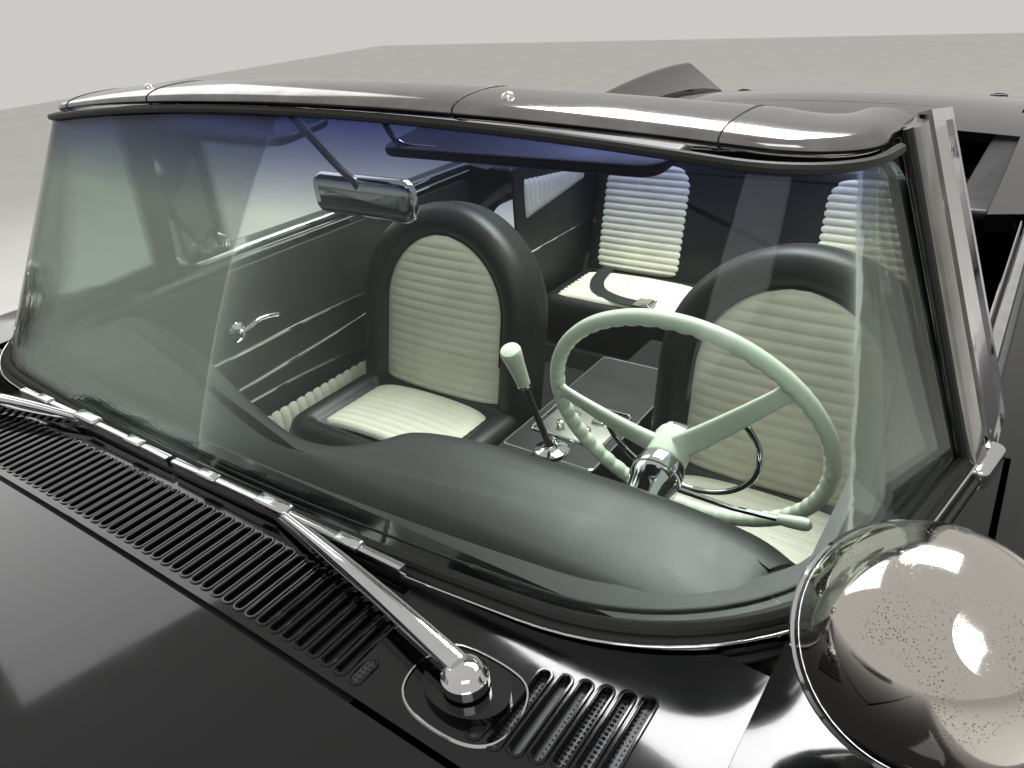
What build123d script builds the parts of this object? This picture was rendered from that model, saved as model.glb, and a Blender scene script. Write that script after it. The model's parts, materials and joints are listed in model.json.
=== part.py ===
"""Four-seat American personal convertible of about 1959, top stowed, as separate pieces.

Millimetres. The nose points to -Y, +X is the car's left (the driver's side), +Z is up.
The origin is on the ground under the middle of the car's length.
"""
import math
import os
from build123d import *

# Overall sizes
LENGTH = 5215.0
WHEELBASE = 2870.0
AXLE_MID_Y = -259.5
TRACK_FRONT = 1524.0
TRACK_REAR = 1448.0
NOSE_Y = -LENGTH / 2
TAIL_Y = LENGTH / 2
AXLE_FRONT_Y = AXLE_MID_Y - WHEELBASE / 2
AXLE_REAR_Y = AXLE_MID_Y + WHEELBASE / 2

# Tyre and wheel
TYRE_R = 355.0
TYRE_WIDTH = 205.0
TREAD_CROWN = 10.0
RIM_R = 178.0
RIM_WIDTH = 165.0
RIM_WALL = 12.0
WHEEL_DISH_R = 95.0
HUB_CAP_R = 40.0
HUB_CAP_HEIGHT = 14.0
COVER_FINS = 24
FIN_LENGTH = 70.0
FIN_WIDTH = 5.0
FIN_HEIGHT = 16.0
SPINDLE_R = 20.0
RUNNING_FIT = 0.05
SEAT_FIT = 0.3
KINGPIN_X = 700.0
KINGPIN_R = 9.0
BALL_SPREAD = 105.0
DRUM_R = 130.0

# Gaps between panels
SHUT_GAP = 6.0
FIXED_GAP = 0.4

# Body side
SIDE_WALL = 40.0
DOOR_WALL = 400.0
DOOR_FRONT_Y = -645.0
DOOR_INNER_X = 740.0
HOOD_EDGE_X = 667.0
HINGE_X = 945.0
DOOR_SWING_R = 1199.0
HINGE_ROUND_R = 38.0
HINGE_PIN_R = 6.0
HINGE_LUG_R = 14.0
HINGE_LUG_H = 36.0
HINGE_HEIGHTS = (430.0, 720.0)
ARCH_R_FRONT = 412.0
ARCH_R_REAR = 395.0
ARCH_TOP_REAR = 665.0
ARCH_ROUND_R = 90.0
ROCKER_BOTTOM = 165.0
SILL_TOP = 214.0
SILL_SEAT = SILL_TOP + FIXED_GAP
LAMP_FACE_DEPTH = 92.0
FENDER_NOSE_Y = NOSE_Y + 40.0
QUARTER_END_Y = TAIL_Y - 120.0

# Side sections. Columns: y, inner edge x, inner edge z, top x, top z, shoulder x, shoulder z,
# widest x, widest z, bottom x, bottom z
FENDER_SECTIONS = (
    (FENDER_NOSE_Y, 667.0, 862.0, 800.0, 870.0, 905.0, 815.0, 925.0, 730.0, 905.0, 330.0),
    (NOSE_Y + 557.0, 667.0, 890.0, 815.0, 903.0, 925.0, 815.0, 966.0, 670.0, 935.0, 265.0),
    (AXLE_FRONT_Y + 294.0, 667.0, 925.0, 825.0, 932.0, 936.0, 820.0, 980.5, 660.0, 945.0, 235.0),
    (DOOR_FRONT_Y + 45.0, 667.0, 940.0, 830.0, 935.0, 939.0, 825.0, 980.5, 660.0, 945.0, SILL_SEAT),
)
DOOR_SECTIONS = (
    (-700.0, 740.0, 930.0, 830.0, 933.0, 939.0, 824.0, 980.5, 660.0, 945.0, 225.0),
    (-50.0, 740.0, 915.0, 830.0, 920.0, 936.0, 815.0, 980.5, 655.0, 945.0, 222.0),
    (575.0, 740.0, 915.0, 830.0, 922.0, 936.0, 818.0, 978.5, 655.0, 943.0, 225.0),
)
QUARTER_SECTIONS = (
    (480.0, 667.0, 912.0, 832.0, 922.0, 936.0, 818.0, 978.5, 655.0, 943.0, 216.0),
    (AXLE_REAR_Y, 667.0, 925.0, 838.0, 945.0, 935.0, 828.0, 974.0, 660.0, 940.0, 240.0),
    (TAIL_Y - 807.0, 667.0, 930.0, 862.0, 990.0, 935.0, 845.0, 962.0, 670.0, 925.0, 275.0),
    (QUARTER_END_Y, 667.0, 850.0, 885.0, 1010.0, 917.0, 860.0, 932.0, 690.0, 887.0, 330.0),
)
QUARTER_FOOT_X = 917.0
QUARTER_FOOT_Y = 680.0
SHOULDER_R = 45.0
CROWN_R = 260.0

# Spear pressed into the lower side. Columns: y, height of the middle, half height, how proud
SPEAR_SECTIONS = (
    (-560.0, 352.0, 6.0, 2.0),
    (-300.0, 352.0, 52.0, 16.0),
    (900.0, 372.0, 66.0, 20.0),
)

# Hood, cowl and deck
HOOD_FRONT_Y = NOSE_Y + 177.5
HOOD_REAR_Y = -1107.0
HOOD_THICK = 28.0
HOOD_HINGE_Z = 866.0
COWL_REAR_Y = -905.0
COWL_TOP_Z = 962.0
COWL_EDGE_Z = 938.0
COWL_THICK = 60.0
# Columns: y, height at the centre line, height at the edge
HOOD_SECTIONS = (
    (HOOD_FRONT_Y, 872.0, 860.0),
    (HOOD_FRONT_Y + 530.0, 932.0, 902.0),
    (HOOD_REAR_Y, COWL_TOP_Z, COWL_EDGE_Z),
)
# Scoop. Columns: y, half width at its foot, foot height, height of its top
SCOOP_SECTIONS = (
    (HOOD_FRONT_Y + 240.0, 285.0, 885.0, 968.0),
    (HOOD_FRONT_Y + 560.0, 262.0, 912.0, 988.0),
    (HOOD_FRONT_Y + 960.0, 190.0, 930.0, 964.0),
)
SCOOP_SHOULDER = 48.0
SCOOP_MOUTH_HEIGHT = 40.0
SCOOP_MOUTH_DEPTH = 190.0
SLOT_LENGTH = 78.0
SLOT_WIDTH = 9.0
SLOT_PITCH = 16.0
SLOT_Y = -1052.0
SLOTS_MIDDLE = 48
SLOTS_OUTER = 6
SLOTS_OUTER_X = 558.0
SLOTS_OUTER_Y = -1026.0
SLOTS_OUTER_STEP = 4.6
WIPER_BOSS = (76.0, 56.0)
WIPER_BOSS_TOP = 957.0
WIPER_X = 475.0
WIPER_Y = -1048.0
WIPER_ARM_Z = 966.0
BLADE_X = 181.5
BLADE_Y = -988.0
BLADE_LENGTH = 353.0
SEATBACK_Y = 1290.0
DECK_FRONT_Y = 1640.0
DECK_REAR_Y = TAIL_Y - 212.5
# Columns: y, height at the centre line, height at the edge
DECK_SECTIONS = (
    (SEATBACK_Y, 948.0, 924.0),
    (DECK_FRONT_Y, 950.0, 926.0),
    (DECK_REAR_Y - 345.0, 925.0, 900.0),
    (DECK_REAR_Y, 866.0, 856.0),
)
DECK_THICK = 26.0
DECK_GUTTER = 27.0
DECK_HALF_WIDTH = HOOD_EDGE_X - DECK_GUTTER
LID_HINGE_Z = 862.0
LID_BARREL_X = 520.0
LID_BARREL_R = 9.0
LID_BARREL_W = 34.0
LID_PIN_R = 5.0
LID_CLEAR = 7.0

# Windshield. Columns: height, front y, radius of the front arc, radius of the corner,
# x and y of the side's rear end, angle of the side to the centre line
GLASS_BASE = (930.0, -984.0, 5000.0, 290.0, 765.0, -495.0, 10.2)
GLASS_TOP = (1345.0, -725.0, 5000.0, 85.0, 633.0, -545.0, 4.0)
HEADER_BACK = (1345.0, -645.0, 2600.0, 60.0, 596.0, -540.0, 20.0)
GLASS_THICK = 6.0
HEADER_DEEP_Z = 1290.0
FRAME_OUT = 9.0
FRAME_IN = 20.0
HEADER_LOW_Z = 1320.0
HEADER_HIGH_Z = 1340.0
HEADER_DROP = 62.0
HEADER_REACH = 830.0
GLASS_CORNER_R = 85.0
PILLAR_WIDTH = 40.0
BASE_RAIL = 20.0

# Cabin
FLOOR_Z = 235.0
FLOOR_THICK = 22.0
FIREWALL_Y = -1010.0
CABIN_HALF_WIDTH = 735.0
POST_WIDTH = 53.0
RAIL_TOP = 470.0
TUNNEL_HALF_WIDTH = 140.0
TUNNEL_HEIGHT = 190.0
TUNNEL_SINK = 20.0
SEAT_X = 430.0
SEAT_HALF_WIDTH = 268.0
SEAT_CUSHION_TOP = 500.0
SEAT_CUSHION_BOTTOM = 285.0
SEAT_FRONT_Y = -400.0
SEAT_FACE_Y = -85.0
SEAT_FACE_Z = 480.0
SEAT_TOP_Z = 965.0
SEAT_RECLINE = 13.0
SEAT_BACK_THICK = 120.0
SEAT_ROLL = 78.0
INSERT_DEPTH = 14.0
REAR_SEAT_FRONT_Y = 640.0
REAR_SEAT_HALF_WIDTH = 585.0
REAR_SEAT_TOP_Z = 862.0
REAR_CUSHION_TOP = 470.0
REAR_INSERT_X = 358.0
REAR_INSERT_HALF = 160.0
CONSOLE_HALF_WIDTH = 115.0
CONSOLE_TOP_Z = 520.0
SHIFTER_Y = -200.0
SHIFTER_LEAN = 22.0
SHIFTER_LENGTH = 325.0
SHIFTER_R = 7.0
KNOB_LENGTH = 100.0
KNOB_FOOT_R = 13.0
KNOB_TOP_R = 20.0
DASH_TOP_Z = 928.0
DASH_PAD_THICK = 74.0
DASH_HALF_WIDTH = 655.0
DASH_LOW_Z = 640.0
INSTRUMENT_Y = -765.0
# Rear edge of the dash pad in plan. Columns: x, y
DASH_EDGE = (
    (-DASH_HALF_WIDTH, -700.0),
    (-605.0, -662.0),
    (-357.0, -714.0),
    (-139.0, -772.0),
    (-19.0, -803.0),
    (112.0, -803.0),
    (132.0, -714.0),
    (326.0, -694.0),
    (591.0, -710.0),
    (DASH_HALF_WIDTH, -734.0),
)

# Steering
WHEEL_CENTRE = (405.0, -460.0, 846.0)
WHEEL_TILT = 19.0
WHEEL_R = 207.0
WHEEL_RIM_R = 12.5
WHEEL_DISH = 62.0
SPOKE_ANGLES = (175.0, 40.0)
HORN_ANGLE = -72.5
HORN_R = 118.0
COLUMN_R = 26.0
SHAFT_R = 11.0

# Ends of the car
BUMPER_DEPTH = 105.0
BUMPER_SWEEP = 284.0
REAR_BUMPER_SWEEP = 180.0
BUMPER_TOP = 690.0
BUMPER_HALF_WIDTH = 925.0
BUMPER_REACH = BUMPER_HALF_WIDTH + 60.0
BUMPER_ROUND = 120.0
GRILLE_Z = 500.0
GRILLE_HEIGHT = 190.0
GRILLE_END = 285.0
GRILLE_HALF_WIDTH = BUMPER_HALF_WIDTH - GRILLE_END
GRILLE_BARS = 26
GRILLE_RAILS = 5
HEADLAMP_R = 70.0
HEADLAMP_Z = 772.0
HEADLAMP_X = (668.0, 820.0)
HEADLAMP_THICK = 40.0
HEADLAMP_RECESS = 22.0
REAR_BUMPER_Z = 470.0
REAR_BUMPER_HEIGHT = 200.0
REAR_BUMPER_HALF_WIDTH = 900.0
REAR_BUMPER_TOP = REAR_BUMPER_Z + REAR_BUMPER_HEIGHT / 2
PLATE_Z = 650.0
PLATE_PITCH_X = 177.8
PLATE_PITCH_Z = 120.65
PLATE_HOLE_R = 3.5
PLATE_THICK = 4.0
TAILLAMP_R = 80.0
TAILLAMP_Z = 700.0
TAILLAMP_X = (372.0, 548.0)
TAIL_RECESS = 36.0

LEFT, RIGHT = 1, -1
SIDES = (("left", LEFT), ("right", RIGHT))


def save(shape, name):
    """Label one finished piece and write it."""
    shape.label = name
    export_step(shape, "parts/" + name + ".step")


def section_plane(y):
    """An upright plane across the car at y, its x to the car's left and its y up."""
    return Plane(origin=(0, y, 0), x_dir=(1, 0, 0), z_dir=(0, -1, 0))


def side_wire(row, side):
    """Draw one closed solid section of a body side in the current line block."""
    y, xi, zi, xt, zt, xs, zs, xm, zm, xb, zb = row
    outer = [(xi, zi), (xt, zt), (xs, zs), (xm, zm), (xb, zb)]
    FilletPolyline(*[(side * x, z) for x, z in outer], radius=[SHOULDER_R, SHOULDER_R, CROWN_R])
    inner = [(xb, zb), (xi, zb), (xi, zi)]
    Polyline(*[(side * x, z) for x, z in inner])


def hollow(rows, side, front_y, rear_y):
    """The space inside a body side's wall between two planes across the car."""
    with BuildPart() as space:
        for row in rows:
            y, xi, zi, xt, zt, xs, zs, xm, zm, xb, zb = row
            inside = xi - SIDE_WALL / 2
            low = zb - SIDE_WALL
            with BuildSketch(section_plane(y)):
                points = [(xb - SIDE_WALL, low), (xm - SIDE_WALL, zm), (xs - SIDE_WALL, zs - SIDE_WALL / 2),
                          (xi + SIDE_WALL, zi - SIDE_WALL), (inside, zi - SIDE_WALL), (inside, low)]
                Polygon(*[(side * x, z) for x, z in points], align=None)
        loft(ruled=True)
        with Locations((0, (front_y + rear_y) / 2, 0)):
            Box(3000, rear_y - front_y, 3000, mode=Mode.INTERSECT)
    return space.part


def spear(side):
    """The spear pressed into the lower side, as a solid that reaches into the wall."""
    low_x, low_z = FENDER_SECTIONS[2][9], SILL_TOP
    slope = (FENDER_SECTIONS[2][7] - low_x) / (FENDER_SECTIONS[2][8] - low_z)
    with BuildPart() as bulge:
        for y, z, half, proud in SPEAR_SECTIONS:
            foot = low_x + slope * (z - half - low_z) - 4.0
            head = low_x + slope * (z + half - low_z) - 4.0
            crest = low_x + slope * (z - low_z) + proud
            with BuildSketch(section_plane(y)):
                with BuildLine():
                    ThreePointArc((side * foot, z - half), (side * crest, z), (side * head, z + half))
                    Polyline((side * head, z + half), (side * (low_x - 20), z + half),
                             (side * (low_x - 20), z - half), (side * foot, z - half))
                make_face()
        loft(ruled=True)
    return bulge.part


def crowned_wire(row, half, thick):
    """Draw a crowned slab's section, top and underside arcs, in the current line block."""
    y, zc, ze = row
    ThreePointArc((-half, ze), (0, zc), (half, ze))
    Line((half, ze), (half, ze - thick))
    ThreePointArc((half, ze - thick), (0, zc - thick), (-half, ze - thick))
    Line((-half, ze - thick), (-half, ze))


def plan_points(curve, grow):
    """Points of the plan curve grown outward: front arc's end, corner's middle, corner's end,
    side's end, and the side's direction to the rear."""
    height, front_y, front_r, corner_r, end_x, end_y, angle = curve
    lean = math.radians(angle)
    ahead = Vector(-math.sin(lean), -math.cos(lean), 0)
    inward = Vector(-math.cos(lean), math.sin(lean), 0)
    centre = Vector(0, front_y + front_r, 0)
    big, small = front_r + grow, corner_r + grow
    end = Vector(end_x, end_y, 0) - inward * grow
    start = end + inward * small - centre
    along = start.dot(ahead)
    run = -along + math.sqrt(along * along - start.dot(start) + (big - small) ** 2)
    pivot = end + inward * small + ahead * run
    front = centre + (pivot - centre) * (big / (big - small))
    side = end + ahead * run
    middle = pivot + ((front - pivot) + (side - pivot)).normalized() * small
    return front, middle, side, end, ahead * -1


def glass_wire(curve, grow, back):
    """Draw the closed plan of the windshield's curve, grown outward, in the line block."""
    front, middle, side, end, rearward = plan_points(curve, grow)
    tail = end + rearward * back
    a, m, b, e = [(p.X, p.Y) for p in (front, middle, side, tail)]
    ThreePointArc((-a[0], a[1]), (0, curve[1] - grow), a)
    ThreePointArc(a, m, b)
    Line(b, e)
    Line(e, (-e[0], e[1]))
    Line((-e[0], e[1]), (-b[0], b[1]))
    ThreePointArc((-b[0], b[1]), (-m[0], m[1]), (-a[0], a[1]))


def glass_block(low, high, grow, back):
    """The solid between two plan curves, each with its height first."""
    with BuildPart() as block:
        for curve in (low, high):
            with BuildSketch(Plane.XY.offset(curve[0])):
                with BuildLine():
                    glass_wire(curve, grow, back)
                make_face()
        loft(ruled=True)
    return block.part


def below_header(top_z):
    """The region from the base rail up to an arched surface, as a block through the car."""
    ends = top_z - HEADER_DROP
    low = GLASS_BASE[0] + BASE_RAIL
    with BuildPart() as region:
        with BuildSketch(Plane.XZ.offset(2000)):
            with BuildLine():
                ThreePointArc((-HEADER_REACH, ends), (0, top_z), (HEADER_REACH, ends))
                Polyline((HEADER_REACH, ends), (HEADER_REACH, low), (-HEADER_REACH, low),
                         (-HEADER_REACH, ends))
            make_face()
        extrude(amount=-4000)
    return region.part


def ahead_of_pillars(width):
    """The region ahead of the pillars, rounded at its upper corners, through the car."""
    low_z = GLASS_BASE[0] - 60.0
    corner_z = HEADER_LOW_Z - HEADER_DROP * (GLASS_TOP[4] / HEADER_REACH) ** 2
    slope = (GLASS_TOP[5] - GLASS_BASE[5]) / (GLASS_TOP[0] - GLASS_BASE[0])
    low_y = GLASS_BASE[5] - width + slope * (low_z - GLASS_BASE[0])
    corner_y = GLASS_BASE[5] - width + slope * (corner_z - GLASS_BASE[0])
    round_y = corner_y - GLASS_CORNER_R
    with BuildPart() as region:
        with BuildSketch(Plane.YZ.offset(-1000)):
            with BuildLine():
                FilletPolyline((-1300, low_z), (low_y, low_z), (corner_y, corner_z), (-1300, corner_z),
                               radius=[1.0, GLASS_CORNER_R])
                Line((-1300, corner_z), (-1300, low_z))
            make_face()
            with Locations(((round_y - 1300) / 2, corner_z)):
                Rectangle(round_y + 1300, 200)
        extrude(amount=2000)
    return region.part


def rod(start, end, radius):
    """A round bar between two points."""
    way = Vector(*end) - Vector(*start)
    with BuildPart() as bar:
        with BuildSketch(Plane(origin=start, z_dir=way)):
            Circle(radius)
        extrude(amount=way.length)
    return bar.part


def hinge_eye(y, z, reach, foot_z, offset_x):
    """Half of a lid's hinge: a barrel with its leaf, bored for the pin, on a plane across X."""
    with BuildPart() as eye:
        with BuildSketch(Plane.YZ.offset(offset_x - LID_BARREL_W / 2)):
            with Locations((y, z)):
                Circle(LID_BARREL_R)
            with Locations((y + reach / 2, foot_z)):
                Rectangle(abs(reach), 15)
            with Locations((y, z)):
                Circle(LID_PIN_R + RUNNING_FIT, mode=Mode.SUBTRACT)
        extrude(amount=LID_BARREL_W)
    return eye.part


def hinge_pin(y, z, foot, offset_x):
    """The hinge's fixed half: a pin between two cheeks, each with a foot on the panel."""
    reach = LID_BARREL_W + 2 * SHUT_GAP
    with BuildPart() as pin:
        for start in (offset_x - reach / 2 - 8, offset_x + reach / 2):
            with BuildSketch(Plane.YZ.offset(start)):
                with Locations((y, z)):
                    Circle(LID_PIN_R)
                with Locations((y + foot[0], z + foot[1])):
                    Rectangle(foot[2], foot[3])
            extrude(amount=8)
        with BuildSketch(Plane.YZ.offset(offset_x - reach / 2 - 4)):
            with Locations((y, z)):
                Circle(LID_PIN_R)
        extrude(amount=reach + 8)
    return pin.part


os.makedirs("parts", exist_ok=True)

# Windshield frame and glass
outer_block = glass_block(GLASS_BASE, GLASS_TOP, FRAME_OUT, 0.0)
inner_block = glass_block(GLASS_BASE, GLASS_TOP, -FRAME_IN, 200.0)
glass_outer = glass_block(GLASS_BASE, GLASS_TOP, 0.0, 0.0)
glass_inner = glass_block(GLASS_BASE, GLASS_TOP, -GLASS_THICK, 200.0)
header_inner = glass_block((HEADER_DEEP_Z - 60.0, *HEADER_BACK[1:]), (HEADER_BACK[0] + 20.0, *HEADER_BACK[1:]),
                           0.0, 200.0)
below_low = below_header(HEADER_LOW_Z)
below_high = below_header(HEADER_HIGH_Z)
daylight = below_low & ahead_of_pillars(PILLAR_WIDTH)
with BuildPart() as low_space:
    with Locations((0, 0, GLASS_BASE[0])):
        Box(3000, 4000, 2 * BASE_RAIL + 1)
frame_shape = ((outer_block - inner_block) - daylight) & (below_high + low_space.part)
header_shape = (outer_block & (below_high - below_low)) - header_inner
frame_shape = frame_shape + header_shape
save(frame_shape, "windshield_frame")
glass_shape = (glass_outer - glass_inner) & daylight
save(glass_shape, "windshield_glass")
glass_seat = glass_block((GLASS_BASE[0] - FIXED_GAP, *GLASS_BASE[1:]), (GLASS_TOP[0], *GLASS_BASE[1:]),
                         FRAME_OUT + FIXED_GAP, 300.0)

# Fenders, doors and quarters
LAMP_POCKET_Y = FENDER_NOSE_Y + HEADLAMP_RECESS + HEADLAMP_THICK + FIXED_GAP
with BuildPart() as lamp_pockets:
    with BuildSketch(Plane.XZ.offset(-LAMP_POCKET_Y)):
        for x in HEADLAMP_X:
            with Locations((x, HEADLAMP_Z), (-x, HEADLAMP_Z)):
                Circle(HEADLAMP_R + FIXED_GAP)
    extrude(amount=200)
with BuildPart() as front_arch:
    with BuildSketch(Plane.YZ.offset(-1100)):
        with Locations((AXLE_FRONT_Y, TYRE_R)):
            Circle(ARCH_R_FRONT)
        with Locations((AXLE_FRONT_Y, TYRE_R - 300)):
            Rectangle(2 * ARCH_R_FRONT, 600)
    extrude(amount=2200)

LOW = 100.0
fenders = []
doors = []
for word, side in SIDES:
    fender_space = hollow(FENDER_SECTIONS, side, FENDER_NOSE_Y + LAMP_FACE_DEPTH, DOOR_FRONT_Y + 200)
    with BuildPart() as fender:
        for row in FENDER_SECTIONS:
            with BuildSketch(section_plane(row[0])):
                with BuildLine():
                    side_wire(row, side)
                make_face()
        loft()
        add(fender_space, mode=Mode.SUBTRACT)
        add(front_arch.part, mode=Mode.SUBTRACT)
        add(glass_seat, mode=Mode.SUBTRACT)
        add(lamp_pockets.part, mode=Mode.SUBTRACT)
        # Room for the bumper
        with Locations((side * 850, NOSE_Y + BUMPER_SWEEP / 2, (BUMPER_TOP + 2 + LOW) / 2)):
            Box(600, BUMPER_SWEEP + 70, BUMPER_TOP + 2 - LOW, mode=Mode.SUBTRACT)
        with BuildSketch(Plane.XY.offset(LOW)):
            with Locations((side * 850, DOOR_FRONT_Y - SHUT_GAP + 100)):
                Rectangle(600, 200)
            with Locations((side * HINGE_X, DOOR_FRONT_Y)):
                Circle(HINGE_ROUND_R + SHUT_GAP)
        extrude(amount=1000, mode=Mode.SUBTRACT)
        for z in HINGE_HEIGHTS:
            with BuildSketch(Plane.XY.offset(z - HINGE_LUG_H / 2)):
                with Locations((side * HINGE_X, DOOR_FRONT_Y)):
                    Circle(HINGE_LUG_R)
                with Locations((side * HINGE_X, DOOR_FRONT_Y - 35)):
                    Rectangle(2 * HINGE_LUG_R, 70)
                with Locations((side * HINGE_X, DOOR_FRONT_Y)):
                    Circle(HINGE_PIN_R + RUNNING_FIT, mode=Mode.SUBTRACT)
            extrude(amount=HINGE_LUG_H)
    save(fender.part, "fender_" + word)
    fenders.append(fender.part)

    side_spear = spear(side)
    with BuildPart() as door:
        for row in DOOR_SECTIONS:
            with BuildSketch(section_plane(row[0])):
                with BuildLine():
                    side_wire(row, side)
                make_face()
        loft()
        add(side_spear)
        with BuildSketch(Plane.XY.offset(LOW)):
            with Locations((side * 850, DOOR_FRONT_Y - 100)):
                Rectangle(600, 200)
            with Locations((side * HINGE_X, DOOR_FRONT_Y)):
                Circle(HINGE_ROUND_R, mode=Mode.SUBTRACT)
        extrude(amount=1000, mode=Mode.SUBTRACT)
        # The rear face is round about the hinge, so that the inner corner clears the quarter
        with BuildSketch(Plane.XY.offset(LOW)):
            with Locations((side * HINGE_X, DOOR_FRONT_Y)):
                Circle(DOOR_SWING_R)
        extrude(amount=1000, mode=Mode.INTERSECT)
        # The inner front corner steps back round the windshield post
        with BuildSketch(Plane.XY.offset(LOW)):
            with Locations((side * 735, -570)):
                Rectangle(120, 200)
        extrude(amount=1000, mode=Mode.SUBTRACT)
        for z in HINGE_HEIGHTS:
            with BuildSketch(Plane.XY.offset(z - HINGE_LUG_H / 2 - SHUT_GAP)):
                with Locations((side * HINGE_X, DOOR_FRONT_Y)):
                    Circle(HINGE_LUG_R + SHUT_GAP)
                with Locations((side * HINGE_X, DOOR_FRONT_Y - 34)):
                    Rectangle(200, 92)
            extrude(amount=HINGE_LUG_H + 2 * SHUT_GAP, mode=Mode.SUBTRACT)
            with BuildSketch(Plane.XY.offset(z - HINGE_LUG_H / 2 - 3 * SHUT_GAP)):
                with Locations((side * HINGE_X, DOOR_FRONT_Y)):
                    Circle(HINGE_PIN_R)
            extrude(amount=HINGE_LUG_H + 6 * SHUT_GAP)
    save(door.part, "door_" + word)
    doors.append(door.part)

    quarter_space = hollow(QUARTER_SECTIONS, side, DOOR_FRONT_Y, QUARTER_END_Y - SIDE_WALL)
    with BuildPart() as quarter:
        for row in QUARTER_SECTIONS:
            with BuildSketch(section_plane(row[0])):
                with BuildLine():
                    side_wire(row, side)
                make_face()
        loft()
        add(side_spear)
        add(quarter_space, mode=Mode.SUBTRACT)
        with BuildSketch(Plane.YZ.offset(side * 550)):
            with Locations((AXLE_REAR_Y, TYRE_R)):
                Circle(ARCH_R_REAR)
            with Locations((AXLE_REAR_Y, TYRE_R - 200)):
                Rectangle(2 * ARCH_R_REAR, 400)
        extrude(amount=side * (885 - 550), mode=Mode.SUBTRACT)
        with BuildSketch(Plane.YZ.offset(side * 800)):
            with BuildLine():
                FilletPolyline((AXLE_REAR_Y + ARCH_R_REAR, LOW), (AXLE_REAR_Y + ARCH_R_REAR, TYRE_R),
                               (AXLE_REAR_Y + ARCH_R_REAR * 0.72, ARCH_TOP_REAR),
                               (AXLE_REAR_Y - ARCH_R_REAR * 0.72, ARCH_TOP_REAR),
                               (AXLE_REAR_Y - ARCH_R_REAR, TYRE_R), (AXLE_REAR_Y - ARCH_R_REAR, LOW),
                               radius=ARCH_ROUND_R)
                Line((AXLE_REAR_Y - ARCH_R_REAR, LOW), (AXLE_REAR_Y + ARCH_R_REAR, LOW))
            make_face()
        extrude(amount=side * 300, mode=Mode.SUBTRACT)
        # Room for the bumper
        with Locations((side * 850, TAIL_Y - 130, (REAR_BUMPER_TOP + 4 + LOW) / 2)):
            Box(600, 264, REAR_BUMPER_TOP + 4 - LOW, mode=Mode.SUBTRACT)
        with BuildSketch(Plane.XY.offset(LOW)):
            with Locations((side * HINGE_X, DOOR_FRONT_Y)):
                Circle(DOOR_SWING_R + SHUT_GAP)
        extrude(amount=1000, mode=Mode.SUBTRACT)
        # Foot that stands on the sill
        with Locations((side * QUARTER_FOOT_X, QUARTER_FOOT_Y, SILL_SEAT)):
            Box(22, 150, 20, align=(Align.CENTER, Align.CENTER, Align.MIN))
    save(quarter.part, "quarter_" + word)

# Cowl between the fenders, with the firewall and posts under it
COWL_HALF_WIDTH = HOOD_EDGE_X - FIXED_GAP
COWL_FRONT_Y = HOOD_REAR_Y + SHUT_GAP
COWL_REAR_Z = COWL_TOP_Z - 4.0
COWL_LOW_Z = COWL_REAR_Z - COWL_THICK
POST_X = CABIN_HALF_WIDTH + POST_WIDTH / 2 + FIXED_GAP
with BuildPart() as cowl:
    with BuildSketch(Plane.YZ.offset(-COWL_HALF_WIDTH)):
        with BuildLine():
            Polyline((COWL_FRONT_Y, COWL_TOP_Z), (COWL_REAR_Y, COWL_REAR_Z), (COWL_REAR_Y, COWL_LOW_Z),
                     (FIREWALL_Y, COWL_LOW_Z), (FIREWALL_Y, RAIL_TOP + FIXED_GAP),
                     (FIREWALL_Y - FLOOR_THICK, RAIL_TOP + FIXED_GAP), (FIREWALL_Y - FLOOR_THICK, COWL_LOW_Z - 18),
                     (COWL_FRONT_Y, COWL_LOW_Z + 22), (COWL_FRONT_Y, COWL_TOP_Z))
        make_face()
    extrude(amount=2 * COWL_HALF_WIDTH)
    with BuildSketch(section_plane(-1300)):
        with BuildLine():
            ThreePointArc((-HOOD_EDGE_X, COWL_EDGE_Z), (0, COWL_TOP_Z), (HOOD_EDGE_X, COWL_EDGE_Z))
            Polyline((HOOD_EDGE_X, COWL_EDGE_Z), (HOOD_EDGE_X, 1100), (-HOOD_EDGE_X, 1100),
                     (-HOOD_EDGE_X, COWL_EDGE_Z))
        make_face()
    extrude(amount=-800, mode=Mode.SUBTRACT)
    # Raised seats of the wiper shafts
    for side in (LEFT, RIGHT):
        with BuildSketch(Plane.XY.offset(COWL_LOW_Z + 20)):
            with Locations((side * WIPER_X, WIPER_Y)):
                Ellipse(WIPER_BOSS[0] / 2, WIPER_BOSS[1] / 2)
        extrude(amount=WIPER_BOSS_TOP - COWL_LOW_Z - 20)
    add(glass_seat, mode=Mode.SUBTRACT)
    # Posts that carry the windshield's feet
    for side in (LEFT, RIGHT):
        with Locations((side * POST_X, -743, SILL_SEAT)):
            Box(POST_WIDTH, 534, 626, align=(Align.CENTER, Align.CENTER, Align.MIN))
        with Locations((side * POST_X, -562, RAIL_TOP)):
            Box(POST_WIDTH, 172, GLASS_BASE[0] - FIXED_GAP - RAIL_TOP,
                align=(Align.CENTER, Align.CENTER, Align.MIN))
        with Locations((side * 700, -1006, 700)):
            Box(76, 50, 200)
    # Air slots ahead of the glass
    with BuildSketch(Plane.XY.offset(COWL_LOW_Z - 10)):
        with Locations((0, SLOT_Y)):
            with GridLocations(SLOT_PITCH, 1, SLOTS_MIDDLE, 1):
                SlotOverall(SLOT_LENGTH, SLOT_WIDTH, rotation=90)
        for side in (LEFT, RIGHT):
            for i in range(SLOTS_OUTER):
                step = i - (SLOTS_OUTER - 1) / 2
                with Locations((side * (SLOTS_OUTER_X + step * SLOT_PITCH),
                                SLOTS_OUTER_Y + step * SLOTS_OUTER_STEP)):
                    SlotOverall(SLOT_LENGTH, SLOT_WIDTH, rotation=90)
    extrude(amount=100, mode=Mode.SUBTRACT)
save(cowl.part, "cowl")

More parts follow.
